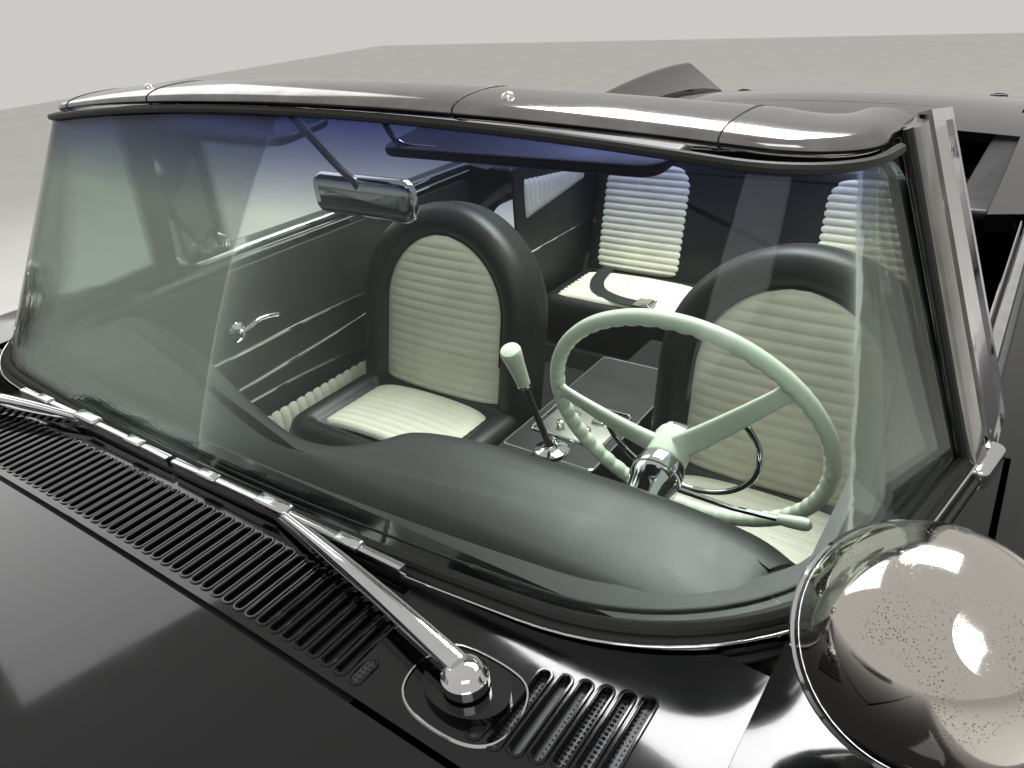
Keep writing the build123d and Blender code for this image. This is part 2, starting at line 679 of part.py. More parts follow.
# Hood, hinged at its front edge, with its scoop
HOOD_HINGE_Y = HOOD_FRONT_Y - 8.0
hood_eyes = [hinge_eye(HOOD_HINGE_Y, HOOD_HINGE_Z, 28.0, HOOD_HINGE_Z - 7, x)
             for x in (-LID_BARREL_X, LID_BARREL_X)]
with BuildPart() as scoop:
    for y, w, foot, top in SCOOP_SECTIONS:
        with BuildSketch(section_plane(y)):
            with BuildLine():
                ThreePointArc((SCOOP_SHOULDER - w, top - 12), (0, top), (w - SCOOP_SHOULDER, top - 12))
                Polyline((w - SCOOP_SHOULDER, top - 12), (w, foot), (-w, foot), (SCOOP_SHOULDER - w, top - 12))
            make_face()
    loft()
with BuildPart() as mouth:
    y, w, foot, top = SCOOP_SECTIONS[0]
    with BuildSketch(section_plane(y - 10)):
        with Locations((0, top - 22 - SCOOP_MOUTH_HEIGHT / 2)):
            SlotOverall(2 * (w - SCOOP_SHOULDER), SCOOP_MOUTH_HEIGHT)
    extrude(amount=-SCOOP_MOUTH_DEPTH)
with BuildPart() as hood:
    for row in HOOD_SECTIONS:
        with BuildSketch(section_plane(row[0])):
            with BuildLine():
                crowned_wire(row, HOOD_EDGE_X - SHUT_GAP, HOOD_THICK)
            make_face()
    loft()
    add(scoop.part)
    add(mouth.part, mode=Mode.SUBTRACT)
    add(hood_eyes)
save(hood.part, "hood")

# Nose panel between the fenders, ahead of the hood
NOSE_PANEL_REAR_Y = HOOD_FRONT_Y - SHUT_GAP - 10.0
hood_pins = [hinge_pin(HOOD_HINGE_Y, HOOD_HINGE_Z, (-5.0, -5.0, 10.0, 8.0), x)
             for x in (-LID_BARREL_X, LID_BARREL_X)]
with BuildPart() as nose:
    for y, zc, ze in ((FENDER_NOSE_Y, 866.0, 858.0), (NOSE_PANEL_REAR_Y, 871.0, 859.0)):
        with BuildSketch(section_plane(y)):
            with BuildLine():
                crowned_wire((y, zc, ze), COWL_HALF_WIDTH, ze - BUMPER_TOP - 4)
            make_face()
    loft(ruled=True)
    brow = nose.edges().filter_by(GeomType.CIRCLE).group_by(Axis.Y)[0].sort_by(Axis.Z)[-1]
    fillet(brow, 46.0)
    add(lamp_pockets.part, mode=Mode.SUBTRACT)
    for x in (-LID_BARREL_X, LID_BARREL_X):
        with BuildSketch(Plane.YZ.offset(x - LID_BARREL_W / 2 - SHUT_GAP)):
            with Locations((HOOD_HINGE_Y, HOOD_HINGE_Z)):
                Circle(LID_BARREL_R + SHUT_GAP)
        extrude(amount=LID_BARREL_W + 2 * SHUT_GAP, mode=Mode.SUBTRACT)
    add(hood_pins)
save(nose.part, "nose_panel")

# Rear deck frame: panel behind the seat, side gutters and tail panel round the lid's opening
lid_pins = [hinge_pin(DECK_REAR_Y, LID_HINGE_Z, (6.0, -4.0, 14.0, 6.0), x)
            for x in (-LID_BARREL_X, LID_BARREL_X)]
with BuildPart() as deck:
    for row in DECK_SECTIONS:
        with BuildSketch(section_plane(row[0])):
            with BuildLine():
                crowned_wire(row, COWL_HALF_WIDTH, DECK_THICK)
            make_face()
    loft()
    with BuildSketch(section_plane(DECK_REAR_Y)):
        with BuildLine():
            crowned_wire(DECK_SECTIONS[3], COWL_HALF_WIDTH, 276.0)
        make_face()
    with BuildSketch(section_plane(QUARTER_END_Y)):
        with BuildLine():
            crowned_wire((0, 838.0, 820.0), COWL_HALF_WIDTH, 244.0)
        make_face()
    loft(ruled=True)
    with BuildSketch(Plane.XY.offset(700)):
        with Locations((0, (DECK_FRONT_Y + DECK_REAR_Y + LID_CLEAR) / 2)):
            Rectangle(2 * DECK_HALF_WIDTH + 2 * SHUT_GAP, DECK_REAR_Y + LID_CLEAR - DECK_FRONT_Y)
    extrude(amount=400, mode=Mode.SUBTRACT)
    # Recess of each pair of lamps
    with BuildSketch(Plane.XZ.offset(TAIL_RECESS - QUARTER_END_Y)):
        for side in (LEFT, RIGHT):
            with Locations((side * (TAILLAMP_X[0] + TAILLAMP_X[1]) / 2, TAILLAMP_Z)):
                SlotOverall(TAILLAMP_X[1] - TAILLAMP_X[0] + 2 * TAILLAMP_R + 16, 2 * TAILLAMP_R + 16)
    extrude(amount=-100, mode=Mode.SUBTRACT)
    for x in (-LID_BARREL_X, LID_BARREL_X):
        with BuildSketch(Plane.YZ.offset(x - LID_BARREL_W / 2 - SHUT_GAP)):
            with Locations((DECK_REAR_Y, LID_HINGE_Z)):
                Circle(LID_BARREL_R + SHUT_GAP)
        extrude(amount=LID_BARREL_W + 2 * SHUT_GAP, mode=Mode.SUBTRACT)
    add(lid_pins)
save(deck.part, "rear_deck")

lid_eyes = [hinge_eye(DECK_REAR_Y, LID_HINGE_Z, -24.0, LID_HINGE_Z - 7, x)
            for x in (-LID_BARREL_X, LID_BARREL_X)]
LID_SECTIONS = (
    (DECK_FRONT_Y + SHUT_GAP, *DECK_SECTIONS[1][1:]),
    DECK_SECTIONS[2],
    (DECK_REAR_Y - SHUT_GAP, *DECK_SECTIONS[3][1:]),
)
with BuildPart() as lid:
    for row in LID_SECTIONS:
        with BuildSketch(section_plane(row[0])):
            with BuildLine():
                crowned_wire(row, DECK_HALF_WIDTH, DECK_THICK)
            make_face()
    loft()
    add(lid_eyes)
save(lid.part, "deck_lid")

# Underbody: floor, tunnel, rockers and rails
RAIL_X = 415.0
RAIL_WIDTH = 75.0
RAIL_FRONT_Y = NOSE_Y + 256.0
RAIL_REAR_Y = TAIL_Y - 272.5
FLOOR_REAR_Z = 500.0
TUNNEL_Y = -120.0
TUNNEL_LENGTH = 1460.0
SILL_Y = -240.0
SILL_LENGTH = 2060.0
TUNNEL_TOP_Z = FLOOR_Z + TUNNEL_HEIGHT - TUNNEL_SINK
with BuildPart() as underbody:
    with BuildSketch(Plane.YZ.offset(-CABIN_HALF_WIDTH)):
        with BuildLine():
            wall_y = FIREWALL_Y + FIXED_GAP
            low_z, mid_z, rear_z, t = FLOOR_Z, 300.0, FLOOR_REAR_Z, FLOOR_THICK
            Polyline((wall_y, RAIL_TOP), (wall_y + t, RAIL_TOP), (-820, low_z), (600, low_z), (620, mid_z),
                     (900, mid_z), (1000, rear_z), (RAIL_REAR_Y + 5, rear_z), (RAIL_REAR_Y + 5, rear_z - t),
                     (1010, rear_z - t), (912, mid_z - t), (632, mid_z - t), (612, low_z - t),
                     (-832, low_z - t), (wall_y, RAIL_TOP - 12), (wall_y, RAIL_TOP))
        make_face()
    extrude(amount=2 * CABIN_HALF_WIDTH)
    with Locations((0, TUNNEL_Y, TUNNEL_TOP_Z)):
        Box(2 * TUNNEL_HALF_WIDTH, TUNNEL_LENGTH, TUNNEL_HEIGHT, align=(Align.CENTER, Align.CENTER, Align.MAX))
    with Locations((0, TUNNEL_Y, TUNNEL_TOP_Z - FLOOR_THICK)):
        Box(2 * (TUNNEL_HALF_WIDTH - FLOOR_THICK), TUNNEL_LENGTH + 40, TUNNEL_HEIGHT,
            align=(Align.CENTER, Align.CENTER, Align.MAX), mode=Mode.SUBTRACT)
    for side in (LEFT, RIGHT):
        for x, wide in ((790.0, 110.0), (887.0, 86.0)):
            with Locations((side * x, SILL_Y, (ROCKER_BOTTOM + SILL_TOP) / 2)):
                Box(wide, SILL_LENGTH, SILL_TOP - ROCKER_BOTTOM)
        with Locations((side * RAIL_X, RAIL_FRONT_Y, 417)):
            Box(RAIL_WIDTH, FIREWALL_Y + 60 - RAIL_FRONT_Y, 2 * (RAIL_TOP - 417),
                align=(Align.CENTER, Align.MIN, Align.CENTER))
        with Locations((side * RAIL_X, RAIL_REAR_Y, 440)):
            Box(RAIL_WIDTH, 1270, 80, align=(Align.CENTER, Align.MAX, Align.CENTER))
    for x in (-1000, 600):
        with BuildSketch(Plane.YZ.offset(x)):
            with Locations((AXLE_REAR_Y, TYRE_R)):
                Circle(ARCH_R_REAR)
        extrude(amount=400, mode=Mode.SUBTRACT)
save(underbody.part, "underbody")

with BuildPart() as engine:
    with Locations((0, -1620, 574.9)):
        Box(560, 760, 420)
save(engine.part, "engine")

# Wheels and tyres
TREAD_EDGE = 26.0
STEM = 75.0


def rolling_plane(x, y, side):
    """A plane through a wheel's axis whose x runs out along the axle and y runs up."""
    return Plane(origin=(x, y, TYRE_R), x_dir=(side, 0, 0), z_dir=(0, -side, 0))


corners = []
for word, side in SIDES:
    corners.append(("front_" + word, side * TRACK_FRONT / 2, AXLE_FRONT_Y, side))
    corners.append(("rear_" + word, side * TRACK_REAR / 2, AXLE_REAR_Y, side))
for word, x, y, side in corners:
    plane = rolling_plane(x, y, side)
    spin = Axis((x, y, TYRE_R), (1, 0, 0))
    with BuildPart() as tyre:
        with BuildSketch(plane):
            with BuildLine():
                w, b, edge = TYRE_WIDTH / 2, RIM_WIDTH / 2, TYRE_WIDTH / 2 - TREAD_EDGE
                belly = (RIM_R + TYRE_R) / 2 - 8
                ThreePointArc((-b, RIM_R), (-w, belly), (-edge, TYRE_R - TREAD_CROWN))
                ThreePointArc((-edge, TYRE_R - TREAD_CROWN), (0, TYRE_R), (edge, TYRE_R - TREAD_CROWN))
                ThreePointArc((edge, TYRE_R - TREAD_CROWN), (w, belly), (b, RIM_R))
                Line((b, RIM_R), (-b, RIM_R))
            make_face()
        revolve(axis=spin)
    save(tyre.part, "tyre_" + word)
    with BuildPart() as wheel:
        with BuildSketch(plane):
            with BuildLine():
                r = RIM_R - SEAT_FIT
                b = RIM_WIDTH / 2
                bore = SPINDLE_R + RUNNING_FIT
                cap = b + 4
                Polyline((-b, r), (b, r), (cap, r - 8), (b - 6, r - 22))
                ThreePointArc((b - 6, r - 22), (b - 26, WHEEL_DISH_R), (cap, HUB_CAP_R))
                crown = cap + HUB_CAP_HEIGHT
                ThreePointArc((cap, HUB_CAP_R), (cap + HUB_CAP_HEIGHT * 0.72, HUB_CAP_R * 0.65), (crown, 12))
                Polyline((crown, 12), (crown, 0), (cap + 2, 0), (cap + 2, bore), (b - STEM, bore),
                         (b - STEM, 44), (b - 40, 44), (b - 44, r - RIM_WALL - 20),
                         (b - 60, r - RIM_WALL), (-b, r - RIM_WALL), (-b, r))
            make_face()
        revolve(axis=spin)
        # Radial fins in the dish of the cover
        face = Plane(origin=(x + side * (RIM_WIDTH / 2 - 30), y, TYRE_R), x_dir=(0, 1, 0), z_dir=(side, 0, 0))
        with BuildSketch(face):
            with PolarLocations(WHEEL_DISH_R + 4, COVER_FINS):
                Rectangle(FIN_LENGTH, FIN_WIDTH)
        extrude(amount=FIN_HEIGHT)
    save(wheel.part, "wheel_" + word)

# Steering knuckles with their spindles
for word, side in SIDES:
    x = side * KINGPIN_X
    with BuildPart() as knuckle:
        with Locations((x, AXLE_FRONT_Y, TYRE_R)):
            Box(34, 60, 2 * BALL_SPREAD - 40)
            Cylinder(KINGPIN_R, 2 * BALL_SPREAD + 30)
        with BuildSketch(Plane.YZ.offset(x)):
            with Locations((AXLE_FRONT_Y, TYRE_R)):
                Circle(SPINDLE_R)
        extrude(amount=side * 145)
        with BuildSketch(Plane.YZ.offset(x + side * 22)):
            with Locations((AXLE_FRONT_Y, TYRE_R)):
                Circle(DRUM_R)
        extrude(amount=side * 8)
        with Locations((x + side * 19, AXLE_FRONT_Y, TYRE_R)):
            Box(12, 80, 80)
    save(knuckle.part, "knuckle_" + word)

# Front cross-member with its arms
TOWER_X = 464.2
with BuildPart() as front_axle:
    with Locations((0, AXLE_FRONT_Y, 312.3)):
        Box(754, 120, 104.6)
    for side in (LEFT, RIGHT):
        for z, thick in ((TYRE_R - BALL_SPREAD, 30), (TYRE_R + BALL_SPREAD, 22)):
            with Locations((side * (KINGPIN_X + TOWER_X - 11.2) / 2, AXLE_FRONT_Y, z)):
                Box(KINGPIN_X - TOWER_X + 11.2, 50, thick)
            with Locations((side * KINGPIN_X, AXLE_FRONT_Y, z)):
                Cylinder(16, thick)
        with Locations((side * TOWER_X, AXLE_FRONT_Y, 353)):
            Box(22.6, 70, 236)
        with Locations((side * KINGPIN_X, AXLE_FRONT_Y, TYRE_R)):
            Cylinder(KINGPIN_R + RUNNING_FIT, 600, mode=Mode.SUBTRACT)
save(front_axle.part, "front_suspension")

# Rear axle with its leaf springs
SPRING_X = 495.0
SHACKLE_Y = AXLE_REAR_Y + 640.0
SHACKLE_LOW_Z = 248.4
with BuildPart() as rear_axle:
    with BuildSketch(Plane(origin=(0, AXLE_REAR_Y, TYRE_R), x_dir=(1, 0, 0), z_dir=(0, -1, 0))):
        with BuildLine():
            stub = TRACK_REAR / 2 + 80
            Polyline((-stub, 0), (-stub, SPINDLE_R), (-600, SPINDLE_R), (-600, 38), (-150, 42),
                     (-80, 105), (80, 105), (150, 42), (600, 38), (600, SPINDLE_R), (stub, SPINDLE_R),
                     (stub, 0), (-stub, 0))
        make_face()
    revolve(axis=Axis((0, AXLE_REAR_Y, TYRE_R), (1, 0, 0)))
    for side in (LEFT, RIGHT):
        with Locations((side * SPRING_X, AXLE_REAR_Y + 62, 260.6)):
            Box(60, 1210, 34)
        with Locations((side * SPRING_X, SHACKLE_Y, SHACKLE_LOW_Z)):
            Box(60, 24, FLOOR_REAR_Z - FLOOR_THICK - FIXED_GAP - SHACKLE_LOW_Z,
                align=(Align.CENTER, Align.CENTER, Align.MIN))
        with Locations((side * SPRING_X, AXLE_REAR_Y, 300)):
            Box(60, 90, 60)
save(rear_axle.part, "rear_axle")

EXHAUST_X = 230.0
EXHAUST_R = 26.0
with BuildPart() as exhaust:
    for side in (LEFT, RIGHT):
        with BuildSketch(Plane.XZ.offset(1300)):
            with Locations((side * EXHAUST_X, 186.6)):
                Circle(EXHAUST_R)
        extrude(amount=-3700)
        with BuildSketch(Plane.XZ.offset(-100)):
            with Locations((side * EXHAUST_X, 188)):
                Ellipse(100, 24)
        extrude(amount=-500)
save(exhaust.part, "exhaust")


# Bumpers, grille and lamps
def swept_band(front_y, sweep):
    """A tall band curved in plan like a bumper, from its outer face inward."""
    end = front_y + sweep
    deep = math.copysign(BUMPER_DEPTH, sweep)
    with BuildPart() as band:
        with BuildSketch(Plane.XY):
            with BuildLine():
                ThreePointArc((-BUMPER_REACH, end), (0, front_y), (BUMPER_REACH, end))
                Line((BUMPER_REACH, end), (BUMPER_REACH, end + deep))
                ThreePointArc((BUMPER_REACH, end + deep), (0, front_y + deep), (-BUMPER_REACH, end + deep))
                Line((-BUMPER_REACH, end + deep), (-BUMPER_REACH, end))
            make_face()
        extrude(amount=1200)
    return band.part


front_band = swept_band(NOSE_Y, BUMPER_SWEEP)
rear_band = swept_band(TAIL_Y, -REAR_BUMPER_SWEEP)
with BuildPart() as front_bumper:
    with BuildSketch(Plane.XZ.offset(-NOSE_Y - 300)):
        with Locations((0, GRILLE_Z)):
            RectangleRounded(2 * BUMPER_HALF_WIDTH, 2 * (BUMPER_TOP - GRILLE_Z), BUMPER_ROUND)
            SlotOverall(2 * GRILLE_HALF_WIDTH, GRILLE_HEIGHT, mode=Mode.SUBTRACT)
    extrude(amount=300)
    add(front_band, mode=Mode.INTERSECT)
    for side in (LEFT, RIGHT):
        with Locations((side * RAIL_X, RAIL_FRONT_Y + 111.5, 349)):
            Box(60, 260, 29.2, align=(Align.CENTER, Align.MAX, Align.CENTER))
save(front_bumper.part, "front_bumper")

GRILLE_BACK_Y = NOSE_Y + BUMPER_DEPTH + 150.5
with BuildPart() as grille:
    with BuildSketch(Plane.XZ.offset(-GRILLE_BACK_Y)):
        with Locations((0, GRILLE_Z)):
            with GridLocations(2 * GRILLE_HALF_WIDTH / GRILLE_BARS, 1, GRILLE_BARS + 1, 1):
                Rectangle(8, GRILLE_HEIGHT + 60)
            with GridLocations(1, (GRILLE_HEIGHT + 56) / (GRILLE_RAILS - 1), 1, GRILLE_RAILS):
                Rectangle(2 * GRILLE_HALF_WIDTH + 40, 8)
    extrude(amount=20)
save(grille.part, "grille")

with BuildPart() as lamps:
    with BuildSketch(Plane.XZ.offset(FIXED_GAP - LAMP_POCKET_Y)):
        for x in HEADLAMP_X:
            with Locations((x, HEADLAMP_Z), (-x, HEADLAMP_Z)):
                Circle(HEADLAMP_R)
    extrude(amount=HEADLAMP_THICK)
    fillet(lamps.edges().group_by(Axis.Y)[0], 14.0)
save(lamps.part, "headlamps")

with BuildPart() as rear_bumper:
    with BuildSketch(Plane.XZ.offset(-TAIL_Y)):
        with Locations((0, REAR_BUMPER_Z)):
            RectangleRounded(2 * REAR_BUMPER_HALF_WIDTH, REAR_BUMPER_HEIGHT, 90)
    extrude(amount=300)
    add(rear_band, mode=Mode.INTERSECT)
    for side in (LEFT, RIGHT):
        with Locations((side * RAIL_X, RAIL_REAR_Y + FIXED_GAP, 438)):
            Box(60, 180, 60, align=(Align.CENTER, Align.MIN, Align.CENTER))
    with Locations((0, TAIL_Y - BUMPER_DEPTH / 2, PLATE_Z - 15)):
        Box(240, PLATE_THICK, 180)
    with BuildSketch(Plane.XZ.offset(-TAIL_Y)):
        with Locations((0, PLATE_Z)):
            with GridLocations(PLATE_PITCH_X, PLATE_PITCH_Z, 2, 2):
                Circle(PLATE_HOLE_R)
    extrude(amount=90, mode=Mode.SUBTRACT)
save(rear_bumper.part, "rear_bumper")

with BuildPart() as tail_lamps:
    with BuildSketch(Plane.XZ.offset(TAIL_RECESS - FIXED_GAP - QUARTER_END_Y)):
        for x in TAILLAMP_X:
            with Locations((x, TAILLAMP_Z), (-x, TAILLAMP_Z)):
                Circle(TAILLAMP_R)
    extrude(amount=-TAIL_RECESS)
    fillet(tail_lamps.edges().group_by(Axis.Y)[-1], 16.0)
save(tail_lamps.part, "tail_lamps")

# Bucket seats: a cushion and a leaning arched back, each with a sunk insert
recline = math.radians(SEAT_RECLINE)
ARCH_V = (SEAT_TOP_Z - SEAT_FACE_Z) / math.cos(recline) - SEAT_HALF_WIDTH
SEAT_INSERT_R = SEAT_HALF_WIDTH - SEAT_ROLL
for word, side in SIDES:
    face = Plane(origin=(side * SEAT_X, SEAT_FACE_Y, SEAT_FACE_Z), x_dir=(1, 0, 0),
                 z_dir=(0, -math.cos(recline), math.sin(recline)))
    with BuildPart() as back:
        with BuildSketch(face):
            with Locations((0, (ARCH_V - 180) / 2)):
                Rectangle(2 * SEAT_HALF_WIDTH, ARCH_V + 180)
            with Locations((0, ARCH_V)):
                Circle(SEAT_HALF_WIDTH)
        extrude(amount=-SEAT_BACK_THICK)
        fillet(back.faces().filter_by(GeomType.PLANE).sort_by(Axis.Y)[0].edges(), 34.0)
        fillet(back.faces().filter_by(GeomType.PLANE).sort_by(Axis.Y)[-1].edges(), 26.0)
        with BuildSketch(face):
            with Locations((0, ARCH_V / 2 + 10)):
                Rectangle(2 * SEAT_INSERT_R, ARCH_V - 20)
            with Locations((0, ARCH_V)):
                Circle(SEAT_INSERT_R)
        extrude(amount=-INSERT_DEPTH, mode=Mode.SUBTRACT)
    with BuildPart() as cushion:
        rear_y = SEAT_FACE_Y + SEAT_BACK_THICK / 2
        with Locations((side * SEAT_X, (SEAT_FRONT_Y + rear_y) / 2, SEAT_CUSHION_BOTTOM)):
            Box(2 * SEAT_HALF_WIDTH, rear_y - SEAT_FRONT_Y, SEAT_CUSHION_TOP - SEAT_CUSHION_BOTTOM,
                align=(Align.CENTER, Align.CENTER, Align.MIN))
        fillet(cushion.edges().filter_by(Axis.Z).sort_by(Axis.Y)[:2], 60.0)
        fillet(cushion.edges().group_by(Axis.Z)[-1], 40.0)
        with BuildSketch(Plane.XY.offset(SEAT_CUSHION_TOP)):
            with Locations((side * SEAT_X, (SEAT_FRONT_Y + SEAT_ROLL + SEAT_FACE_Y) / 2)):
                RectangleRounded(2 * SEAT_INSERT_R, SEAT_FACE_Y - SEAT_FRONT_Y - SEAT_ROLL - 10, 30)
        extrude(amount=-INSERT_DEPTH, mode=Mode.SUBTRACT)
    with BuildPart() as seat:
        add(cushion.part)
        add(back.part)
        with Locations((side * SEAT_X, -150, FLOOR_Z + SEAT_FIT / 2)):
            Box(360, 360, SEAT_CUSHION_BOTTOM - FLOOR_Z - SEAT_FIT, align=(Align.CENTER, Align.CENTER, Align.MIN))
    save(seat.part, "front_seat_" + word)

# Rear seat: one bench with two sunk inserts in its back
REAR_FOOT_Z = 300.3
REAR_BACK_FOOT = (960.0, 440.0)
REAR_BACK_HEAD = (1080.0, REAR_SEAT_TOP_Z)
rear_lean = math.atan2(REAR_BACK_HEAD[0] - REAR_BACK_FOOT[0], REAR_BACK_HEAD[1] - REAR_BACK_FOOT[1])
rear_face = Plane(origin=(0, *REAR_BACK_FOOT), x_dir=(1, 0, 0),
                  z_dir=(0, -math.cos(rear_lean), math.sin(rear_lean)))
with BuildPart() as rear_seat:
    with BuildSketch(Plane.YZ.offset(-REAR_SEAT_HALF_WIDTH)):
        with BuildLine():
            FilletPolyline((700, REAR_FOOT_Z), (REAR_SEAT_FRONT_Y, REAR_FOOT_Z),
                           (REAR_SEAT_FRONT_Y, REAR_CUSHION_TOP), REAR_BACK_FOOT, REAR_BACK_HEAD,
                           (1260, REAR_SEAT_TOP_Z), (1200, 510), (1000, 510), (898, REAR_FOOT_Z),
                           radius=[10.0, 40.0, 20.0, 40.0, 40.0, 10.0, 10.0])
            Line((898, REAR_FOOT_Z), (700, REAR_FOOT_Z))
        make_face()
    extrude(amount=2 * REAR_SEAT_HALF_WIDTH)
    with BuildSketch(rear_face):
        for side in (LEFT, RIGHT):
            with Locations((side * REAR_INSERT_X, 215)):
                RectangleRounded(2 * REAR_INSERT_HALF, 340, 40)
    extrude(amount=-INSERT_DEPTH, mode=Mode.SUBTRACT)
save(rear_seat.part, "rear_seat")

# Console with its sunk panel and the leaning shift lever
CONSOLE_FOOT_Z = TUNNEL_TOP_Z + 0.1
lever_lean = math.radians(SHIFTER_LEAN)
lever_foot = Plane(origin=(0, SHIFTER_Y, CONSOLE_TOP_Z), x_dir=(1, 0, 0),
                   z_dir=(0, -math.sin(lever_lean), math.cos(lever_lean)))
with BuildPart() as knob:
    with BuildSketch(lever_foot.offset(SHIFTER_LENGTH - KNOB_LENGTH)):
        Circle(KNOB_FOOT_R)
    with BuildSketch(lever_foot.offset(SHIFTER_LENGTH)):
        Circle(KNOB_TOP_R)
    loft()
    fillet(knob.edges().sort_by(Axis.Z)[-1], 12.0)
with BuildPart() as console:
    with BuildSketch(Plane.YZ.offset(-CONSOLE_HALF_WIDTH)):
        with BuildLine():
            low = CONSOLE_FOOT_Z
            Polyline((-800, low), (-780, 600), (-700, 600), (-560, CONSOLE_TOP_Z), (250, CONSOLE_TOP_Z),
                     (250, low), (-800, low))
        make_face()
    extrude(amount=2 * CONSOLE_HALF_WIDTH)
    fillet(console.edges().filter_by(Axis.Y).group_by(Axis.Z)[-1], 14.0)
    with Locations((0, -70, CONSOLE_TOP_Z)):
        Box(2 * CONSOLE_HALF_WIDTH - 60, 140, 8, mode=Mode.SUBTRACT)
    with Locations((0, SHIFTER_Y - 6, CONSOLE_TOP_Z)):
        Cylinder(38, 12)
    with BuildSketch(lever_foot):
        Circle(SHIFTER_R)
    extrude(amount=SHIFTER_LENGTH - KNOB_LENGTH + 10)
    add(knob.part)
save(console.part, "console")

# Dashboard: a pad with two lobes above the instrument panel
with BuildPart() as dash:
    with BuildSketch(Plane.XY.offset(DASH_TOP_Z - DASH_PAD_THICK)):
        with BuildLine():
            front = COWL_REAR_Y + FIXED_GAP
            FilletPolyline((-DASH_HALF_WIDTH, front), *DASH_EDGE, (DASH_HALF_WIDTH, front),
                           radius=[8.0, 20.0, 200.0, 200.0, 30.0, 8.0, 8.0, 60.0, 60.0, 8.0])
            Line((DASH_HALF_WIDTH, front), (-DASH_HALF_WIDTH, front))
        make_face()
    extrude(amount=DASH_PAD_THICK)
    with BuildSketch(Plane.YZ.offset(-DASH_HALF_WIDTH)):
        with BuildLine():
            pad_z = DASH_TOP_Z - DASH_PAD_THICK + 1
            Polyline((front, 700), (front, pad_z), (INSTRUMENT_Y - 20, pad_z), (INSTRUMENT_Y, DASH_LOW_Z + 20),
                     (INSTRUMENT_Y - 15, DASH_LOW_Z), (-810, DASH_LOW_Z - 20), (front, 700))
        make_face()
    extrude(amount=2 * DASH_HALF_WIDTH)
save(dash.part, "dashboard")

# Steering column and dished wheel with two spokes and a half horn ring
tilt = math.radians(WHEEL_TILT)
axis_dir = (0.0, math.cos(tilt), math.sin(tilt))
wheel_plane = Plane(origin=WHEEL_CENTRE, x_dir=(1, 0, 0), z_dir=axis_dir)
column_top = wheel_plane.offset(-WHEEL_DISH)
with BuildPart() as column:
    with BuildSketch(column_top.offset(-30)):
        Circle(COLUMN_R)
    extrude(amount=-260)
    with BuildSketch(column_top.offset(-30)):
        Circle(SHAFT_R)
    extrude(amount=60)
save(column.part - dash.part, "steering_column")


def spoke_plane(angle):
    """The plane through the wheel's axis and a spoke, its x out along the spoke, its y up the axis."""
    a = math.radians(angle)
    out = Vector(math.cos(a), -math.sin(tilt) * math.sin(a), math.cos(tilt) * math.sin(a))
    return Plane(origin=WHEEL_CENTRE, x_dir=out, z_dir=out.cross(Vector(*axis_dir)))


with BuildPart() as steering:
    with BuildSketch(spoke_plane(0.0)):
        with Locations((WHEEL_R, 0)):
            Circle(WHEEL_RIM_R)
    revolve(axis=Axis(WHEEL_CENTRE, axis_dir))
    with BuildSketch(wheel_plane.offset(-WHEEL_DISH)):
        Circle(34)
    extrude(amount=WHEEL_DISH - 18)
    with BuildSketch(wheel_plane.offset(-18)):
        Circle(25)
    extrude(amount=5)
    for angle in SPOKE_ANGLES:
        with BuildSketch(spoke_plane(angle)):
            Polygon((22, -WHEEL_DISH + 4), (22, -WHEEL_DISH + 26), (WHEEL_R, 5), (WHEEL_R, -6), align=None)
        extrude(amount=14, both=True)
    # Half ring between the spokes, below the hub
    with BuildSketch(spoke_plane(SPOKE_ANGLES[1])):
        with Locations((HORN_R, -24)):
            Circle(4.5)
    revolve(axis=Axis(WHEEL_CENTRE, axis_dir), revolution_arc=SPOKE_ANGLES[1] - SPOKE_ANGLES[0] + 360)
    with BuildSketch(wheel_plane.offset(-WHEEL_DISH - 1)):
        Circle(SHAFT_R + RUNNING_FIT)
    extrude(amount=32, mode=Mode.SUBTRACT)
save(steering.part, "steering_wheel")

# Wipers: a shaft, an arm and a blade at the foot of the glass
with BuildPart() as wipers:
    for side in (LEFT, RIGHT):
        with Locations((side * WIPER_X, WIPER_Y, WIPER_ARM_Z - 12)):
            Cylinder(15, 42)
        with BuildSketch(Plane.XY.offset(WIPER_ARM_Z)):
            Polygon((side * WIPER_X, WIPER_Y - 10), (side * (WIPER_X + 8), WIPER_Y + 8),
                    (side * BLADE_X, BLADE_Y + 3), (side * BLADE_X, BLADE_Y - 5), align=None)
        extrude(amount=8)
        with Locations((side * BLADE_X, BLADE_Y, WIPER_ARM_Z + 5)):
            Box(BLADE_LENGTH, 8, 12)
    add(cowl.part, mode=Mode.SUBTRACT)
save(wipers.part, "wipers")

# Bullet spotlamps on stems through the fenders' tops
SPOT_CENTRE = (760.0, -900.0, 1022.0)
SPOT_WAY = (0.35, -0.55, 0.76)
SPOT_R = 82.5
SPOT_LENGTH = 118.0
SPOT_STEM_Y = -880.0
spot_bodies = []
for side in (LEFT, RIGHT):
    centre = (side * SPOT_CENTRE[0], SPOT_CENTRE[1], SPOT_CENTRE[2])
    way = Vector(side * SPOT_WAY[0], SPOT_WAY[1], SPOT_WAY[2]).normalized()
    upright = Vector(0, 0, 1)
    across = upright.cross(way).normalized()
    with BuildPart() as body:
        with BuildSketch(Plane(origin=centre, x_dir=across, z_dir=across.cross(way))):
            with BuildLine():
                Polyline((0, -20), (30, -20), (SPOT_R - 6, -8), (SPOT_R, -8), (SPOT_R, 8))
                ThreePointArc((SPOT_R, 8), (SPOT_R * 0.8, SPOT_LENGTH / 2), (22, SPOT_LENGTH - 24))
                Polyline((22, SPOT_LENGTH - 24), (0, SPOT_LENGTH - 22), (0, -20))
            make_face()
        revolve(axis=Axis(centre, way))
    spot_bodies.append(body.part)
    foot = (side * (SPOT_CENTRE[0] + 8), SPOT_STEM_Y, 900.0)
    head = (side * SPOT_CENTRE[0], SPOT_CENTRE[1] + 4, SPOT_CENTRE[2] - 22)
    spot_bodies.append(rod(foot, head, 10.0))
